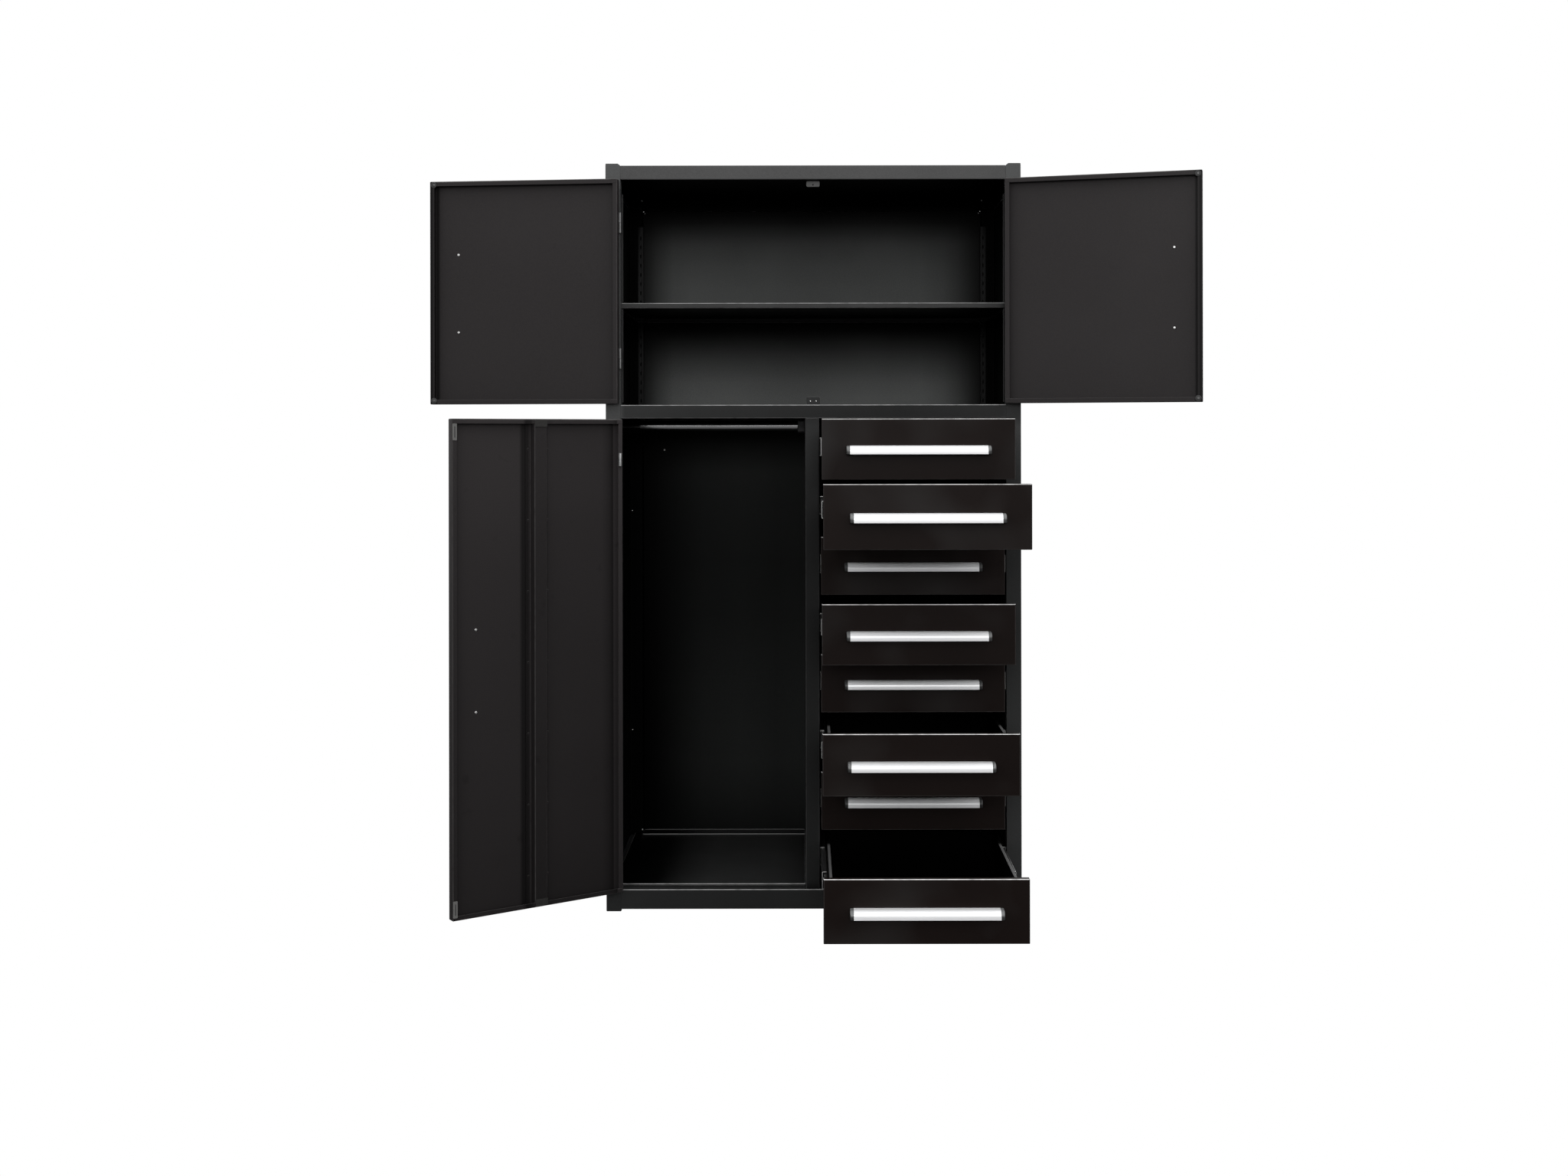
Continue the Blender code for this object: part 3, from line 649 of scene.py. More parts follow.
# The top pan's front strip is painted light grey as painted light; further back and on its underside it
# is painted black as painted shade; faces that look back or up keep the plain coat.
TOP_COAT = powder_coat("coat_top", grey(0.08), gloss=0.04, under=0, plain=BEHIND + ABOVE,
    fades=(("Y", ((-0.3, 1), (-0.285, 1), (-0.28, 0), (0.3, 0))),))
# A lighter copy of the carcass coat for the shelf: painted light, with painted fold highlights and
# painted shade underneath.
SHELF_COAT = powder_coat("coat_shelf", grey(0.017), gloss=0.16, edge=grey(0.3), under=0.02)
# Near-black for the inner faces of the side sheets, rear posts and base beam: painted shade.
SIDE_COAT = powder_coat("coat_side", (0.0009, 0.001, 0.0009), 0.42, gloss=0.015, fades=(("X", OUTER),),
    plain=BEHIND)
# Near-white tone for the floor ledges: painted highlight lines.
LEDGE_HIGHLIGHT_COAT = powder_coat("coat_ledge_painted_highlight", grey(0.26), gloss=0.1)
FLANGE_COAT = powder_coat("coat_flange", grey(0.03), gloss=0.1)
# The back sheets: the upper one lighter, the wardrobe's a darker copy, both with ramps of painted light
# and shade.
INSIDE = powder_coat("coat_inside", (0.0275, 0.0285, 0.028), 0.4, gloss=0.05, plain=BEHIND,
    fades=(("X", BACK_ACROSS), ("Z", BACK_UP)))
LOWER_INSIDE = powder_coat("coat_lower_inside", (0.0066, 0.007, 0.0068), 0.4, gloss=0.02, plain=BEHIND,
    fades=(("X", LOWER_ACROSS), ("Z", LOWER_UP)))
MOUNT_COAT = powder_coat("coat_mount", grey(0.003), 0.42, gloss=0.03)
# Door coats: darker towards the floor as painted light from above, with painted fold highlights and
# painted shade bands along the rims.
DOOR_COAT = powder_coat("coat_door", DOOR_TONE, 0.46, mottle=0.06, smudges=0.3, gloss=0.1,
    edge=(0.1, 0.096, 0.095), bright=(1, 0.35, 0.3),
    fades=(("Z", ((1.2, 0.86), (1.65, 0.99), (1.8, 0.99))), ("X", RIM_ACROSS)),
    plain=(("Y", -1, DOOR_TONE),))
TALL_COAT = powder_coat("coat_tall_door", (0.0285, 0.0255, 0.026), 0.46, mottle=0.06, smudges=0.3,
    gloss=0.08, edge=(0.1, 0.096, 0.095), bright=(1, 0.35, 0.3),
    fades=(("Z", TALL_UP), ("X", TALL_ACROSS)), plain=(("Y", -1, DOOR_TONE),))
# Two copies of the drawer coat that differ as painted light: the upper drawers get a lighter painted
# sheen and base tone, as painted light from above; the lower drawers get brighter painted fold
# highlights.
UPPER_DRAWER = powder_coat("coat_upper_drawer", (0.0085, 0.0058, 0.0052), 0.4, mottle=0.12, gloss=0.05,
    edge=(0.55, 0.545, 0.54), bright=(1, 0.05, 0.03), sheen_patches=((0.022, 0.02, 0.0195), 0.47, 0.76))
LOWER_DRAWER = powder_coat("coat_lower_drawer", (0.0082, 0.0056, 0.005), 0.4, mottle=0.12, gloss=0.05,
    edge=(0.75, 0.745, 0.74), bright=(1, 0.05, 0.03), sheen_patches=((0.019, 0.0172, 0.0166), 0.5, 0.78))
# Drawer boxes with painted light and shade; the bottom drawer's copy stays lit further back.
BOX_COAT = powder_coat("coat_box", grey(0.012), 0.42, gloss=0.015,
    fades=(("Z", TRAY_UP), ("Y", SHORT_TRAY)))
LONG_BOX_COAT = powder_coat("coat_long_box", grey(0.012), 0.42, gloss=0.015,
    fades=(("Z", TRAY_UP), ("Y", LONG_TRAY)))
# Shelf standards painted darker under the shelf and towards the top: painted shadow.
STANDARD_COAT = powder_coat("coat_standard", (0.0085, 0.0088, 0.0087), gloss=0.1,
    fades=(("Z", ((1.2, 0.5), (1.44, 0.5), (1.47, 1.1), (1.6, 1.1), (1.7, 0.3), (1.72, 0.2))),))
STRAP_COAT = powder_coat("coat_strap", (0.03, 0.029, 0.028), 0.45, mottle=0.25, peel=0.2)
PLATE_COAT = powder_coat("coat_plate", (0.105, 0.105, 0.104), gloss=0.1)
TAB_COAT = powder_coat("coat_tab", (0.018, 0.0185, 0.0185), gloss=0.1, edge=(0.12, 0.12, 0.12))
ALUMINIUM = drawn_metal("aluminium_drawn", (0.97, 0.975, 0.985), 0.36, 0, metallic=0.25)
# Handle caps with a painted lit top; a darker copy for caps in the drawers' cast shadow: painted shade.
CAP_PLASTIC = moulded("plastic_cap", (0.15, 0.154, 0.154), 0.38, fade=CAP_UP)
SHADED_CAP_PLASTIC = moulded("plastic_cap_painted_shade", (0.05, 0.051, 0.051), 0.38, fade=CAP_UP)
STUD = zinc("zinc_stud", grey(0.1), 0.4)
CHROME = drawn_metal("chrome_rod", (0.72, 0.72, 0.73), 0.14, 0, depth=0.03)
# Slide rails in dark zinc tones, painted shade, with their forward-facing cut ends painted light as
# painted highlights.
RAIL_ZINC = zinc("zinc_outer_rail", grey(0.03), 0.4, ends=(0.42, 0.42, 0.41))
SLIDE_ZINC = zinc("zinc_slide", (0.12, 0.12, 0.119), 0.38, ends=(0.6, 0.6, 0.59))
STEEL = zinc("zinc_hinge", grey(0.15), 0.38)
SCREW = zinc("zinc_screw", (0.66, 0.66, 0.65), 0.32)
BOLT = zinc("zinc_bolt", (0.92, 0.92, 0.91), 0.3)
# Tone of the thin strip that stands for the rod's lit lower edge: a painted highlight, fading to painted
# shade towards the left.
SHADED_ROD = powder_coat("chrome_shaded", grey(0.2), 0.25, gloss=0.2,
    fades=(("X", ((-0.465, 0.2), (-0.43, 0.5), (-0.4, 1))),))
SOCKET = moulded("plastic_socket", (0.03, 0.03, 0.031), 0.42)
# The left socket as a near-black copy: painted shade.
SHADED_SOCKET = powder_coat("coat_socket_painted_shade", grey(0.0012), 0.5, gloss=0.01)
KNUCKLE_ZINC = zinc("zinc_knuckle", grey(0.32), 0.36)
RUBBER = moulded("rubber_bumper", grey(0.022), 0.55)
PAD = moulded("felt_pad", (0.12, 0.118, 0.114), 0.7, 1500)


# ---- pieces ----


def finish_mesh(item, material):
    mesh = item.data
    mesh.materials.clear()
    mesh.materials.append(material)
    mesh.shade_smooth()
    mesh.set_sharp_from_angle(angle=math.radians(SMOOTH_ANGLE))
    weighted = item.modifiers.new("normals", "WEIGHTED_NORMAL")
    weighted.keep_sharp = True


def add_piece(name, meshes, material, body="carcass", matrix=None, replaces=()):
    """Link one mesh or a list of them as one piece, finish it and tie it to its body."""
    mesh = join_meshes(meshes if isinstance(meshes, list) else [meshes])
    mesh.name = name
    item = bpy.data.objects.new(name, mesh)
    bpy.context.scene.collection.objects.link(item)
    if matrix is not None:
        item.matrix_world = matrix
    finish_mesh(item, material)
    bpy.context.view_layer.update()
    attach(item, body)
    if replaces:
        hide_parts(*replaces)
    return item


def screw_mesh(radius, height, place):
    """Pan-head screw with a cross recess, its base at t = 0."""
    profile = [(radius * 0.96, 0), (radius, height * 0.3), (radius * 0.94, height * 0.62),
        (radius * 0.74, height * 0.88), (radius * 0.45, height)]
    head = turned(profile, place, 20)
    arm = radius * 0.55
    width = radius * 0.14
    cross = [(-width, -arm), (width, -arm), (width, -width), (arm, -width), (arm, width), (width, width),
        (width, arm), (-width, arm), (-width, width), (-arm, width), (-arm, -width), (-width, -width)]
    recess = [[place(a, b, t) for a, b in inset(cross, shrink)] for shrink, t
        in ((0, height * 1.04), (width * 0.35, height * 1.04), (width * 0.35, height * 1.01))]
    return join_meshes([head, chain_mesh(recess)])


# ---- the welded shell ----

def make_posts():
    for row, edge in (("front", FRONT), ("rear", REAR - POST)):
        for name, side in SIDES:
            low_x = span(side, INNER_X, HALF_WIDTH)[0]
            steps = [(0.002, POST_SLANT, HEIGHT), (0.0004, POST_SLANT - 0.0006, HEIGHT - 0.0004),
                (0, 0.0002, HEIGHT - 0.0048), (0, 0, HEIGHT - 0.0054), (0, 0, 0.001), (0.001, 0.001, 0),
                (0.01, 0.01, 0), (0.01, 0.01, 0.003), (POST_WALL, POST_WALL, 0.003),
                (POST_WALL, POST_SLANT, HEIGHT - 0.0075)]
            inner = (1 if side < 0 else 0) if row == "front" else 4
            sizes = [FLUSH if corner == inner else POST_CORNER for corner in range(4)]
            rings = []
            for near, far, level in steps:
                first, second = (near, far) if side < 0 else (far, near)
                outline = rectangle(low_x + first, edge + near, low_x + POST - second,
                    edge + POST - near)
                own = [max(size - near, FLUSH / 2) for size in sizes]
                rings.append([(a, b, level) for a, b in rounded(outline, 0, own)])
            add_piece(f"post_{row}_{name}_tube", chain_mesh(rings),
                POST_COAT if row == "front" else SIDE_COAT, replaces=(f"post_{row}_{name}",))


def make_hinges():
    """Barrels with rounded ends, pins and leaves; the lower half is on the post."""
    for name, side in SIDES:
        levels = UPPER_HINGES + (TALL_HINGES if side < 0 else ())
        meshes = []
        for level in levels:
            axis = Matrix.Translation((side * INNER_X, FRONT - DOOR_SKIN, level))
            low = -KNUCKLE_HEIGHT
            barrel = turned([(KNUCKLE_RADIUS - 0.0012, low), (KNUCKLE_RADIUS - 0.0003, low + 0.0004),
                (KNUCKLE_RADIUS, low + 0.0014), (KNUCKLE_RADIUS, -0.0011),
                (KNUCKLE_RADIUS - 0.0006, -GAP)], facing_up(0))
            pin = turned([(PIN_RADIUS, -0.002), (PIN_RADIUS, 0.0185), (0.0015, 0.0198)], facing_up(0),
                16)
            inner, outer = span(side, 0, LEAF_WIDTH)
            leaf = prism(soft_rectangle(inner, low, outer, -GAP, LEAF_CORNER), LEAF_SHEET + GAP,
                facing_back(DOOR_SKIN - LEAF_SHEET))
            meshes += [moved(part, axis) for part in (barrel, pin, leaf)]
        add_piece(f"hinges_fixed_{name}", meshes, STEEL)


def make_shell():
    """The folded sheets that lie level: top, base, middle deck, cupboard shelf, wardrobe floor."""
    notch = (POST + TINY, POST + TINY)
    whole = notched(HALF_WIDTH, FRONT, REAR, notch, notch)
    half, rear, _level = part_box("mid_deck")[1]
    back_notch = (half - INNER_X + GAP, BACK_FACE - REAR + POST)
    deck = notched(half, FRONT, rear, (half - INNER_X + TINY, POST + GAP), back_notch)
    (_x, near, _level), (_x, far, _level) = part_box("shelf")
    slot = (half - back_notch[0], far - back_notch[1])
    shelf = [(-half, near), (half, near), (half, slot[1]), slot, (slot[0], far), (-slot[0], far),
        (-slot[0], slot[1]), (-half, slot[1])]
    flush = [FLUSH if corner in (0, 1) else CORNER for corner in range(12)]
    for name, node, outline, corner, coat in (("top_pan", "top_panel", whole, flush, TOP_COAT),
            ("bottom_pan", "base_pan", whole, flush, BASE_COAT),
            ("deck_pan", "mid_deck", deck, flush, COAT),
            ("shelf_pan", "shelf", shelf, CORNER, SHELF_COAT)):
        low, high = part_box(node)
        mesh = pan(outline, high[2] - low[2], FLANGE_LIP, SHEET, facing_down(high[2]), corner=corner)
        add_piece(name, mesh, coat, replaces=(node,))
    low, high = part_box("wardrobe_floor")
    post_x = -INNER_X + GAP
    far = REAR - POST - GAP
    near = FRONT + POST + GAP
    outline = [(post_x, low[1]), (high[0], low[1]), (high[0], high[1]), (post_x, high[1]), (post_x, far),
        (low[0], far), (low[0], near), (post_x, near)]
    mesh = pan(outline, high[2] - low[2], FLOOR_LIP, SHEET, facing_down(high[2]), fold=0.002)
    add_piece("floor_pan", mesh, FLOOR_COAT, replaces=("wardrobe_floor",))
    # Two thin ledges on the floor's rear part, in a near-white tone that paints highlight lines.
    ledges = []
    for near, tall in ((high[1] - 0.003, 0.0009), (far - 0.03, 0.002)):
        bar = rectangle(post_x + 0.002, near, high[0] - 0.002, near + FLANGE_STRIP)
        ledges.append(prism(bar, tall, facing_up(high[2] + GAP)))
    add_piece("floor_ledges", ledges, LEDGE_HIGHLIGHT_COAT)


def make_divider():
    low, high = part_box("divider")
    middle = SHEET / 2
    path = [(low[0] + middle, high[1]), (low[0] + middle, low[1] + middle),
        (high[0] - middle, low[1] + middle), (high[0] - middle, high[1])]
    outline = bent(path, SHEET, 0.0024)
    add_piece("divider_channel", prism(outline, high[2] - low[2], facing_up(low[2])), COAT,
        replaces=("divider",))


def make_backs():
    """Two back sheets that meet behind the middle deck, and slotted strips up the rear corners."""
    low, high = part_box("back_panel")
    split = (DECK_BOTTOM + DECK_TOP) / 2
    for name, bottom, top, coat in (("lower", low[2] - GAP + HAIR, split - HAIR, LOWER_INSIDE),
            ("upper", split + HAIR, high[2] + GAP - HAIR, INSIDE)):
        outline = rectangle(low[0] - GAP + HAIR, bottom, high[0] + GAP - HAIR, top)
        add_piece(f"back_sheet_{name}", prism(outline, high[1] - low[1], facing_back(low[1])), coat,
            replaces=("back_panel",))
    strips = []
    face = facing_front(REAR - POST - GAP)
    for _name, side in SIDES:
        low_a, high_a = span(side, INNER_X - 0.003, INNER_X + 0.0118)
        middle = (low_a + high_a) / 2
        for bottom, top in ((DECK_TOP + 0.004, SHELF_BOTTOM - 0.001),
                (SHELF_TOP + 0.001, TOP_BOTTOM - 0.045)):
            holes = []
            for step in range(int((top - bottom - 0.02) / STANDARD_PITCH)):
                start = bottom + 0.012 + step * STANDARD_PITCH
                slot = rectangle(middle - 0.0016, start, middle + 0.0016, start + STANDARD_SLOT)
                holes.append(rounded(slot, 0, 0.0015)[::-1])
            outline = soft_rectangle(low_a, bottom, high_a, top, 0.001)
            strips.append(plate_mesh(outline, holes, STANDARD_SHEET, face))
            for edge in (low_a, high_a - STANDARD_SHEET):
                rib = soft_rectangle(edge, bottom, edge + STANDARD_SHEET, top, 0.0006)
                strips.append(prism(rib, STANDARD_RIB, face))
    add_piece("shelf_standards", strips, STANDARD_COAT)


def make_fasteners():
    """Bolt heads in the rear corners and on the back, and flanges up the cupboard's side panels."""
    post_face = REAR - POST - GAP / 2
    back_face = BACK_FACE - GAP / 2
    under_top = TOP_BOTTOM - 0.0045
    bolts = []
    for radius, height, place in ((0.003, 0.003, (-0.4655, post_face, TOP_LEVEL - 0.0075)),
            (0.002, 0.002, (-0.46, back_face, under_top)),
            (0.003, 0.003, (0.4655, post_face, TOP_LEVEL - 0.0075)),
            (0.002, 0.002, (0.46, back_face, under_top)),
            (0.0024, 0.0018, (-CORNER_BOLT_X, post_face, 1.1835)),
            (0.0024, 0.0018, (-SIDE_BOLT_X, post_face, 0.94)),
            (0.0024, 0.0018, (-SIDE_BOLT_X, post_face, 0.34)),
            (0.0024, 0.0018, (-CORNER_BOLT_X, post_face, 0.066)),
            (0.0024, 0.0018, (-0.407, back_face, 1.105))):
        bolts.append(shifted(screw_mesh(radius, height, facing_front(0)), place))
    add_piece("corner_bolts", bolts, BOLT)
    strips = []
    near = FRONT + POST + 0.003
    for _name, side in SIDES:
        low_a, high_a = span(side, INNER_X - 0.0004, INNER_X - 0.0026)
        strip = rectangle(low_a, near, high_a, near + FLANGE_STRIP)
        for bottom, top in ((DECK_TOP + 0.006, SHELF_BOTTOM - 0.002),
                (SHELF_TOP + 0.002, TOP_BOTTOM - 0.03)):
            strips.append(prism(strip, top - bottom, facing_up(bottom)))
    add_piece("side_flanges", strips, FLANGE_COAT)


def bevel_node(name, material):
    """Keep a frame part as it is, with its edges eased and a better finish."""
    item = frame["nodes"][name]
    item.data.materials.clear()
    item.data.materials.append(material)
    weld = item.modifiers.new("weld", "WELD")
    weld.merge_threshold = WELD_LIMIT
    bevel = item.modifiers.new("bevel", "BEVEL")
    bevel.width = FLUSH
    bevel.segments = 2
    bevel.limit_method = "ANGLE"
    bevel.angle_limit = math.radians(SHARP_ANGLE)
    weighted = item.modifiers.new("normals", "WEIGHTED_NORMAL")
    weighted.keep_sharp = True


def make_tabs():
    """Strike tabs: rounded plates, one with a hole, one with two holes and a screw in each."""
    for name, radius, coat in (("top", 0.0016, PLATE_COAT), ("bottom", 0.0018, TAB_COAT)):
        low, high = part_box(f"strike_tab_{name}")
        ring = soft_rectangle(low[0], low[2], high[0], high[2], 0.0032)
        level = (low[2] + high[2]) / 2 - 0.001
        centres = [(0, low[2] + 0.0048)] if name == "top" else [(-0.007, level), (0.007, level)]
        openings = [circle(radius, 14, centre)[::-1] for centre in centres]
        mesh = plate_mesh(ring, openings, high[1] - low[1], facing_back(low[1]))
        add_piece(f"strike_plate_{name}", mesh, coat, replaces=(f"strike_tab_{name}",))
    add_piece("strike_screws", [shifted(screw_mesh(0.0015, 0.0009, facing_front(low[1] + 0.0012)),
        (x, 0, z)) for x, z in centres], BOLT)


def make_rod():
    low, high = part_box("hanging_rod")
    radius = (high[2] - low[2]) / 2
    centre = ((low[1] + high[1]) / 2, (low[2] + high[2]) / 2)
    steps = [(0.0006, 0), (0, 0.0006), (0, high[0] - low[0] - 0.0006), (0.0006, high[0] - low[0]),
        (0.0015, high[0] - low[0]), (0.0015, 0)]
    rings = [[(low[0] + t, a, b) for a, b in circle(radius - inward, 48, centre)] for inward, t in steps]
    add_piece("rod_tube", chain_mesh(rings, closed=True), CHROME, "carcass",
        replaces=("hanging_rod",))
    for name in ("left", "right"):
        low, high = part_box(f"rod_socket_{name}")
        outline = rectangle(low[1], low[2], high[1], high[2])
        length = high[0] - low[0]
        steps = [(0.0012, 0), (0.0003, 0.0004), (0, 0.0014), (0, length - 0.0014),
            (0.0003, length - 0.0004), (0.0012, length)]
        rings = [[(low[0] + t, a, b) for a, b in rounded(outline, distance, 0.006, 5)] for distance, t
            in steps]
        add_piece(f"rod_holder_{name}", chain_mesh(rings), SHADED_SOCKET if name == "left" else SOCKET,
            "carcass", replaces=(f"rod_socket_{name}",))
        if name == "left":
            # A thin strip in front of the left socket, below the rod's middle, standing in for the rod's
            # lit lower edge: a painted highlight.
            highlight_strip = turned([(0.0024, low[0]), (0.0028, low[0] + 0.0004), (0.0028, high[0])],
                facing_up(0), 24)
            turn = Matrix.Translation((0, low[1] - 0.0032, centre[1] - 0.003))
            turn = turn @ Matrix.Rotation(math.radians(90), 4, "Y")
            add_piece("rod_clip", moved(highlight_strip, turn), SHADED_ROD, "carcass")


# ---- handles ----

def handle_profile(shrink, wall):
    """Closed outline of the hood in the (y, z) plane, y = 0 on the door or drawer."""
    low = -HANDLE_HEIGHT / 2 + shrink
    high = HANDLE_HEIGHT / 2 - HANDLE_LESS - shrink
    reach = HANDLE_DEPTH - shrink
    size = HANDLE_ROUND - shrink
    bend = (-reach + size, high - size)
    outer = [(-GAP, high), *arc(bend, size, 90, 180, HANDLE_STEPS), (-reach, low + 0.0012),
        (-reach + 0.0006, low + 0.0003)]
    if not wall:
        return outer + [(-reach + 0.0014, low), (-GAP, low)]
    inner = arc(bend, size - wall, 180, 90, HANDLE_STEPS)
    return (outer + [(-reach + wall * 0.5, low), (-reach + wall - 0.0004, low + 0.0003),
        (-reach + wall, low + 0.0012)] + inner + [(-GAP - wall, high - wall), (-GAP - wall, low + 0.002),
        (-GAP, low + 0.002)])


def handle_meshes(length):
    half = length / 2 - HANDLE_CAP
    hood = prism(handle_profile(0, HANDLE_WALL)[::-1], 2 * half, along_x(-half), 0.0002)
    caps = []
    for side in (-1, 1):
        steps = [(0.0032, half - 0.004), (0.0032, half + 0.0008), (0.0004, half + 0.0009),
            (0.0004, half + HANDLE_CAP - 0.002), (0.001, half + HANDLE_CAP - 0.0008),
            (0.0024, half + HANDLE_CAP)]
        rings = [[(side * x, a, b) for a, b in handle_profile(shrink, 0)] for shrink, x in steps]
        caps.append(chain_mesh(rings))
    return hood, caps


# ---- doors ----

def door_matrix(name):
    joint = JOINTS[f"{name}_hinge"]
    turn = -math.radians(joint["range_deg"][0] * joint["axis"][2])
    x, y, _z = joint["pos_m"]
    return Matrix.Translation((x, y, 0)) @ Matrix.Rotation(turn, 4, "Z")


def make_door(name):
    """A folded pan made shut, with its hinge halves, pads, bumpers, handle and screws."""
    side = DOOR_SIDE[name]
    reach = DOOR_REACH[name]
    tall = name == "door_tall"
    matrix = door_matrix(name)
    low_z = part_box(name)[0][2]
    high_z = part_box(name)[1][2]
    rim = DOOR_SKIN + DOOR_DEPTH
    coat = TALL_COAT if tall else DOOR_COAT
    low_a, high_a = span(-side, DOOR_START[name], reach)
    outline = rectangle(low_a, low_z, high_a, high_z)
    add_piece(f"{name}_pan", pan(outline, DOOR_DEPTH, DOOR_LIP, SHEET, facing_back(DOOR_SKIN)), coat,
        name, matrix, (name,))
    if tall:
        place = (-side * 0.018, rim + 0.0052, max(TALL_HINGES))
        profile = [(0.004, 0), (0.0049, 0.0008), (0.0049, 0.0306), (0.004, 0.0314)]
        add_piece("door_tall_knuckle", shifted(turned(profile, facing_up(0)), place), KNUCKLE_ZINC, name,
            matrix)
    meshes = []
    for level in (TALL_HINGES if tall else UPPER_HINGES):
        profile = [(KNUCKLE_RADIUS - 0.0006, level), (KNUCKLE_RADIUS, level + 0.0011),
            (KNUCKLE_RADIUS, level + KNUCKLE_HEIGHT - 0.0014),
            (KNUCKLE_RADIUS - 0.0003, level + KNUCKLE_HEIGHT - 0.0004),
            (KNUCKLE_RADIUS - 0.0012, level + KNUCKLE_HEIGHT)]
        bore = [(BORE_RADIUS, level + 0.0206), (BORE_RADIUS, level)]
        meshes.append(turned(bore + profile, facing_up(0)))
        inner, outer = span(-side, 0, LEAF_WIDTH)
        leaf = soft_rectangle(inner, level, outer, level + KNUCKLE_HEIGHT, LEAF_CORNER)
        meshes.append(prism(leaf, LEAF_SHEET + GAP, facing_back(DOOR_SKIN - LEAF_SHEET)))
    add_piece(f"{name}_hinge_halves", meshes, STEEL, name, matrix)
    handle_level = TALL_HANDLE_LEVEL if tall else UPPER_HANDLE_LEVEL
    grip = matrix @ Matrix.Translation((-side * (reach - HANDLE_INSET), DOOR_SKIN, handle_level))
    grip = grip @ Matrix.Rotation(math.radians(-90 * side), 4, "Y")
    hood, caps = handle_meshes(DOOR_HANDLE)
    add_piece(f"{name}_handle_hood", hood, ALUMINIUM, name, grip, (f"{name}_handle",))
    add_piece(f"{name}_handle_caps", caps, CAP_PLASTIC, name, grip)
    screws = []
    for offset in (-PULL_SCREW_OFFSET, PULL_SCREW_OFFSET):
        place = (-side * (reach - HANDLE_INSET), DOOR_SKIN + SHEET, handle_level + offset)
        screws.append(shifted(screw_mesh(0.0034, 0.0024, facing_back(0)), place))
    add_piece(f"{name}_screws", screws, SCREW, name, matrix)
    add_corner_tabs(name, side, reach, low_z, high_z, rim, matrix)
    add_bumpers(name, side, reach, low_z, high_z, rim, matrix)
    if tall:
        make_stiffener(low_z, high_z, DOOR_SKIN + SHEET, rim, matrix)


def add_corner_tabs(name, side, reach, low_z, high_z, rim, matrix):
    """Small welded laps where the rims meet at the hinge side, and seams at the free side."""
    laps = []
    for level in (low_z, high_z):
        inward = 1 if level == low_z else -1
        for near, width in ((DOOR_START[name] + 0.0012, 0.015), (reach - 0.0128, 0.0115)):
            low_a, high_a = span(-side, near, near + width)
            low_b, high_b = sorted((level + inward * 0.0012, level + inward * 0.0105))
            ring = soft_rectangle(low_a, low_b, high_a, high_b, 0.0012)
            laps.append(prism(ring, LAP_SHEET, facing_back(rim - 0.0002)))
    coat = TALL_COAT if name == "door_tall" else DOOR_COAT
    add_piece(f"{name}_corner_laps", laps, coat, name, matrix)


def add_bumpers(name, side, reach, low_z, high_z, rim, matrix):
    """Round rubber stops at the free corners, or flat pads on the tall door's free edge."""
    if name != "door_tall":
        rubber, studs = [], []
        for level in (low_z + BUMPER_LEVEL, high_z - BUMPER_LEVEL):
            place = (-side * (reach - BUMPER_INSET), rim, level)
            profile = [(0.007, 0), (0.0073, 0.0006), (0.007, 0.0012), (0.006, 0.0016), (0.0044, 0.0015),
                (0.004, 0.0007)]
            rubber.append(shifted(turned(profile, facing_back(0), 28), place))
            studs.append(shifted(screw_mesh(0.0036, 0.0008, facing_back(0.0007)), place))
        add_piece(f"{name}_bumpers", rubber, RUBBER, name, matrix)
        add_piece(f"{name}_bumper_screws", studs, STUD, name, matrix)
        return
    pads, slots = [], []
    for level in (low_z + 0.026, high_z - 0.03):
        low_a, high_a = span(-side, reach - 0.0112, reach - 0.0008)
        ring = soft_rectangle(low_a, level - PAD_HALF, high_a, level + PAD_HALF, 0.0016)
        pads.append(prism(ring, PAD_SHEET, facing_back(rim - 0.0001)))
        middle = (low_a + high_a) / 2
        ring = soft_rectangle(middle - 0.0012, level - PAD_SLOT_HALF, middle + 0.0012,
            level + PAD_SLOT_HALF, 0.0011)
        slots.append(prism(ring, 0.001, facing_back(rim + 0.0008)))
    add_piece("door_tall_pads", pads, PAD, name, matrix)
    add_piece("door_tall_pad_slots", slots, RUBBER, name, matrix)


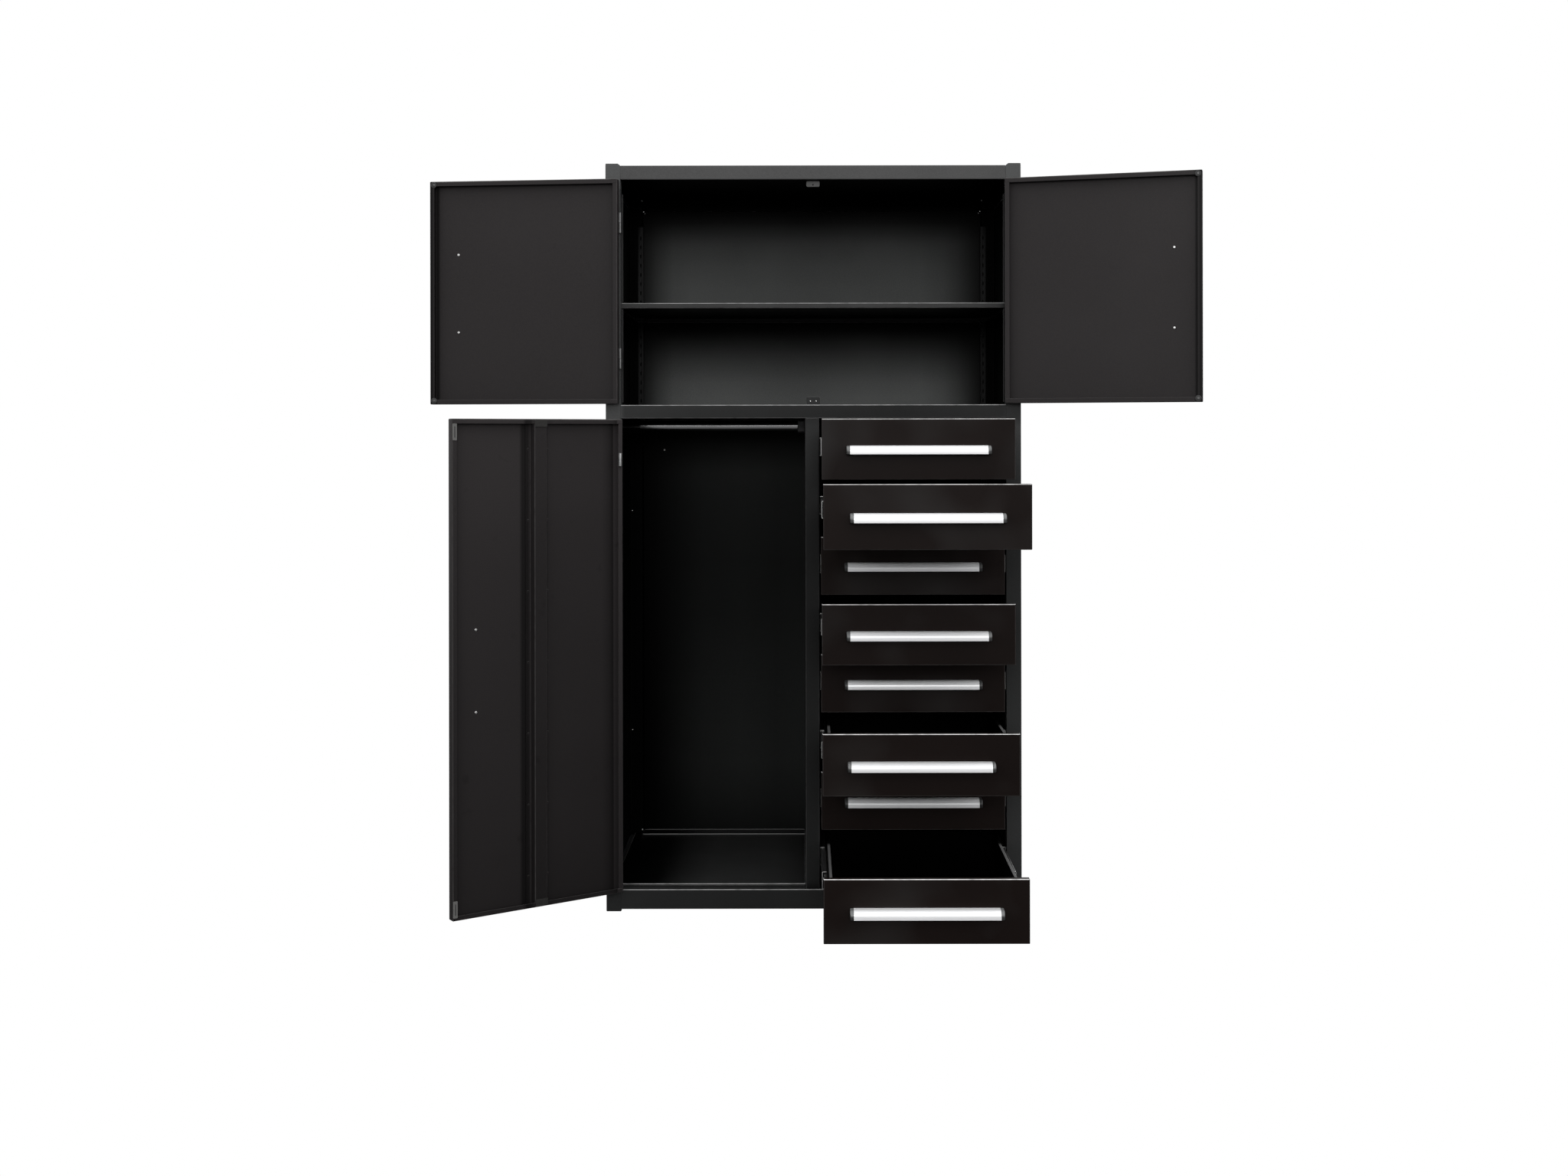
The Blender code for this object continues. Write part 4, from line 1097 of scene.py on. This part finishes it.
def make_stiffener(low_z, high_z, skin, rim, matrix):
    """Hat section whose crown runs from rim to rim, bridged over them by welded straps."""
    low = STIFFENER_OFFSET - STIFFENER_WIDTH / 2
    high = STIFFENER_OFFSET + STIFFENER_WIDTH / 2
    middle = SHEET / 2
    foot = skin + GAP + middle
    crown = skin + GAP + STIFFENER_DEPTH - middle
    path = [(low, foot), (low + STIFFENER_BRIM - STIFFENER_FLARE, foot),
        (low + STIFFENER_BRIM + STIFFENER_FLARE, crown),
        (high - STIFFENER_BRIM - STIFFENER_FLARE, crown),
        (high - STIFFENER_BRIM + STIFFENER_FLARE, foot), (high, foot)]
    outline = bent(path, SHEET, STIFFENER_FOLD)
    length = high_z - low_z - 0.006
    mesh = prism(outline, length, facing_up(low_z + 0.003))
    add_piece("stiffener_hat", mesh, TALL_COAT, "door_tall", matrix, ("door_stiffener",))
    straps = []
    for level, inward in ((low_z, 1), (high_z, -1)):
        low_b, high_b = sorted((level + inward * 0.0016, level + inward * 0.0185))
        ring = soft_rectangle(low + STIFFENER_BRIM + 0.001, low_b, high - STIFFENER_BRIM - 0.001, high_b,
            0.002)
        straps.append(prism(ring, STRAP_SHEET, facing_back(rim - 0.0002)))
    add_piece("stiffener_straps", straps, STRAP_COAT, "door_tall", matrix)
    welds = []
    random.seed(WELD_SEED)
    for step in range(WELDS):
        level = low_z + WELD_START + step * (high_z - low_z - 2 * WELD_START) / (WELDS - 1)
        for across in (low + STIFFENER_BRIM * 0.45, high - STIFFENER_BRIM * 0.45):
            size = WELD_SIZE + random.random() * WELD_SPREAD
            profile = [(size, 0), (size * 0.85, 0.00022), (size * 0.5, 0.0003)]
            place = (across, skin + GAP + SHEET, level)
            welds.append(shifted(turned(profile, facing_back(0), 16), place))
    add_piece("stiffener_welds", welds, TALL_COAT, "door_tall", matrix)


# ---- drawers ----

def channel_path(wall, reach, centre, height, sheet):
    """Middle line of a C open towards `reach`."""
    half = height / 2 - sheet / 2
    inward = 1 if reach > wall else -1
    web = wall + inward * sheet / 2
    return [(reach, centre - half), (web, centre - half), (web, centre + half), (reach, centre + half)]


def rail_meshes(wall, reach, centre, height, start):
    """A slide rail: a thin C with a heavier C pressed round its front end."""
    meshes = []
    for sheet, near, far in ((NOSE, start, start + NOSE - NOSE_GAP),
            (SLIDE_SHEET, start + NOSE, start + SLIDE_LENGTH)):
        path = channel_path(wall, reach, centre, height, sheet)
        meshes.append(prism(oriented(bent(path, sheet, max(0.0016, sheet / 2 + TINY))), far - near,
            along_y(near)))
    return meshes


def make_drawer(index, parts):
    name = f"drawer_{index + 1}"
    low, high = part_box(name)
    centre = ((low[0] + high[0]) / 2, low[1], (low[2] + high[2]) / 2)
    matrix = Matrix.Translation(centre)
    coat = UPPER_DRAWER if index < UPPER_DRAWERS else LOWER_DRAWER
    add_piece(f"{name}_front", parts["front"], coat, name, matrix, (name,))
    box = LONG_BOX_COAT if index == DRAWERS - 1 else BOX_COAT
    add_piece(f"{name}_tray", parts["tray"], box, name, matrix)
    add_piece(f"{name}_inner_rails", parts["inner"], SLIDE_ZINC, name, matrix)
    grip_low, grip_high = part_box(f"{name}_handle")
    grip = Matrix.Translation((centre[0], centre[1], (grip_low[2] + grip_high[2]) / 2))
    add_piece(f"{name}_handle_hood", parts["hood"], ALUMINIUM, name, grip, (f"{name}_handle",))
    # Closed drawers under pulled-out ones take the darker caps: painted shade.
    caps = SHADED_CAP_PLASTIC if index in SHADED_DRAWERS else CAP_PLASTIC
    add_piece(f"{name}_handle_caps", parts["caps"], caps, name, grip)
    low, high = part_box(f"{name}_slide_left")
    matrix = Matrix.Translation((centre[0], low[1], centre[2]))
    add_piece(f"{name}_middle_rails", parts["middle"], SLIDE_ZINC, f"{name}_slides", matrix,
        (f"{name}_slide_left", f"{name}_slide_right"))


def drawer_parts():
    half = FRONT_WIDTH / 2
    tall = FRONT_HEIGHT / 2
    parts = {"front": pan(rectangle(-half, -tall, half, tall), FRONT_DEPTH, FRONT_LIP, SHEET,
        facing_back(0), corner=0.0016)}
    bottom = -tall + BOX_ABOVE_BOTTOM
    height = FRONT_HEIGHT - BOX_ABOVE_BOTTOM - BOX_BELOW_FRONT
    tray = rectangle(-BOX_WIDTH / 2, SHEET + GAP, BOX_WIDTH / 2, BOX_LENGTH)
    parts["tray"] = pan(tray, height, BOX_ROLL, BOX_SHEET, facing_up(bottom), fold=0.0026, corner=0.003)
    inner, middle = [], []
    bay = (INNER_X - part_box("divider")[1][0]) / 2
    for _name, side in SIDES:
        box_wall = side * (BOX_WIDTH / 2 + GAP)
        inner += rail_meshes(box_wall, box_wall + side * (RAIL_ARM - GAP), SLIDE_CENTRE, INNER_RAIL,
            SLIDE_START)
        rail_wall = side * (bay - GAP - RAIL_SPACE)
        middle += rail_meshes(rail_wall, rail_wall - side * RAIL_ARM, SLIDE_CENTRE, MIDDLE_RAIL, 0)
    parts["inner"] = inner
    parts["middle"] = middle
    parts["hood"], parts["caps"] = handle_meshes(DRAWER_HANDLE - HANDLE_TRIM)
    return parts


def oriented(outline):
    """The outline, run anticlockwise."""
    area = sum(first[0] * second[1] - second[0] * first[1]
        for first, second in zip(outline, outline[1:] + outline[:1]))
    return outline if area > 0 else outline[::-1]


def make_slide_mounts():
    """Black mounting plates with eight zinc outer rails a side."""
    bay_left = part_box("divider")[1][0] + GAP
    bay_right = INNER_X - GAP
    for name, side in SIDES:
        low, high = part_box(f"slide_plate_{name}")
        wall = bay_left if side < 0 else bay_right
        if side < 0:
            outline = rectangle(wall, low[1], wall + SLIDE_SHEET, high[1])
            mesh = prism(outline, high[2] - low[2], facing_up(low[2]))
        else:
            web = wall - SLIDE_SHEET / 2
            path = [(high[0], low[1] + SLIDE_SHEET / 2), (web, low[1] + SLIDE_SHEET / 2),
                (web, high[1] - SLIDE_SHEET / 2), (high[0], high[1] - SLIDE_SHEET / 2)]
            mesh = prism(oriented(bent(path, SLIDE_SHEET, 0.002)), high[2] - low[2], facing_up(low[2]))
        add_piece(f"slide_mount_{name}", mesh, MOUNT_COAT, replaces=(f"slide_plate_{name}",))
        rails = []
        for index in range(DRAWERS):
            box_low, box_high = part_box(f"drawer_{index + 1}")
            centre = (box_low[2] + box_high[2]) / 2 + SLIDE_CENTRE
            rails += rail_meshes(wall, wall - side * OUTER_RAIL_ARM, centre, OUTER_RAIL,
                FRONT + SLIDE_START)
        add_piece(f"outer_rails_{name}", rails, RAIL_ZINC, "carcass")


# ---- camera, floor and light ----

CAMERA_PLACE = (-0.0247, -4.3817, 1.1463)
CAMERA_LENS = 38.94
CAMERA_SHIFT = (-0.0122, -0.0977)
CAMERA_ROLL = 0.09
FLOOR_REACH = 60
FLOOR_DROP = 0.0005
FLOOR_GREY = 0.12
AMBIENT = 1.25
WHITE = (1, 1, 1, 1)
FILL_PLACE = (0.1, -6.0, 2.1)
FILL_TARGET = (0, 0, 1.4)
FILL_SIZE = (1.8, 1.0)
FILL_POWER = 60


def make_camera():
    data = bpy.data.cameras.new("camera")
    data.lens = CAMERA_LENS
    data.sensor_width = 36.0
    data.shift_x, data.shift_y = CAMERA_SHIFT
    item = bpy.data.objects.new("camera", data)
    bpy.context.scene.collection.objects.link(item)
    item.location = CAMERA_PLACE
    item.rotation_euler = (math.radians(90), math.radians(CAMERA_ROLL), 0)
    bpy.context.scene.camera = item


def add_fill():
    """A broad soft light above and behind the camera."""
    data = bpy.data.lights.new("fill", "AREA")
    data.shape = "RECTANGLE"
    data.size, data.size_y = FILL_SIZE
    data.energy = FILL_POWER
    item = bpy.data.objects.new("fill", data)
    bpy.context.scene.collection.objects.link(item)
    item.location = FILL_PLACE
    item.rotation_euler = (Vector(FILL_TARGET) - Vector(FILL_PLACE)).to_track_quat("-Z", "Y").to_euler()


def show(tree, seen, lit, output):
    """Give the output one shader for the camera, and another for what falls on the object."""
    mix = tree.nodes.new("ShaderNodeMixShader")
    ray = tree.nodes.new("ShaderNodeLightPath")
    tree.links.new(ray.outputs["Is Camera Ray"], mix.inputs[0])
    tree.links.new(lit.outputs[0], mix.inputs[1])
    tree.links.new(seen.outputs[0], mix.inputs[2])
    tree.links.new(mix.outputs[0], tree.nodes[output].inputs["Surface"])


def make_world():
    world = bpy.data.worlds.new("studio")
    bpy.context.scene.world = world
    world.use_nodes = True
    tree = world.node_tree
    lit = tree.nodes["Background"]
    seen = tree.nodes.new("ShaderNodeBackground")
    for light, strength in ((lit, AMBIENT), (seen, 1.0)):
        light.inputs["Color"].default_value = WHITE
        light.inputs["Strength"].default_value = strength
    show(tree, seen, lit, "World Output")


def make_floor():
    """A floor that reads as white and throws little light back."""
    mesh = bpy.data.meshes.new("floor")
    corners = rectangle(-FLOOR_REACH, -FLOOR_REACH, FLOOR_REACH, FLOOR_REACH)
    mesh.from_pydata([(a, b, 0) for a, b in corners], [], [(0, 1, 2, 3)])
    floor = bpy.data.objects.new("floor", mesh)
    bpy.context.scene.collection.objects.link(floor)
    surface = bpy.data.materials.new("floor")
    surface.use_nodes = True
    tree = surface.node_tree
    tree.nodes.remove(tree.nodes["Principled BSDF"])
    pale = tree.nodes.new("ShaderNodeEmission")
    dull = tree.nodes.new("ShaderNodeBsdfDiffuse")
    dull.inputs["Color"].default_value = (*grey(FLOOR_GREY), 1)
    show(tree, pale, dull, "Material Output")
    mesh.materials.append(surface)
    floor.location.z = -FLOOR_DROP


bpy.context.scene.view_settings.view_transform = "Standard"
make_camera()
make_world()
make_floor()
add_fill()
make_posts()
make_hinges()
make_shell()
make_divider()
make_backs()
make_fasteners()
for node_name in ("side_panel_left", "side_panel_right", "base_beam"):
    bevel_node(node_name, SIDE_COAT)
make_tabs()
make_rod()
for door_name in DOOR_REACH:
    make_door(door_name)
common_parts = drawer_parts()
for drawer_index in range(DRAWERS):
    make_drawer(drawer_index, common_parts)
make_slide_mounts()
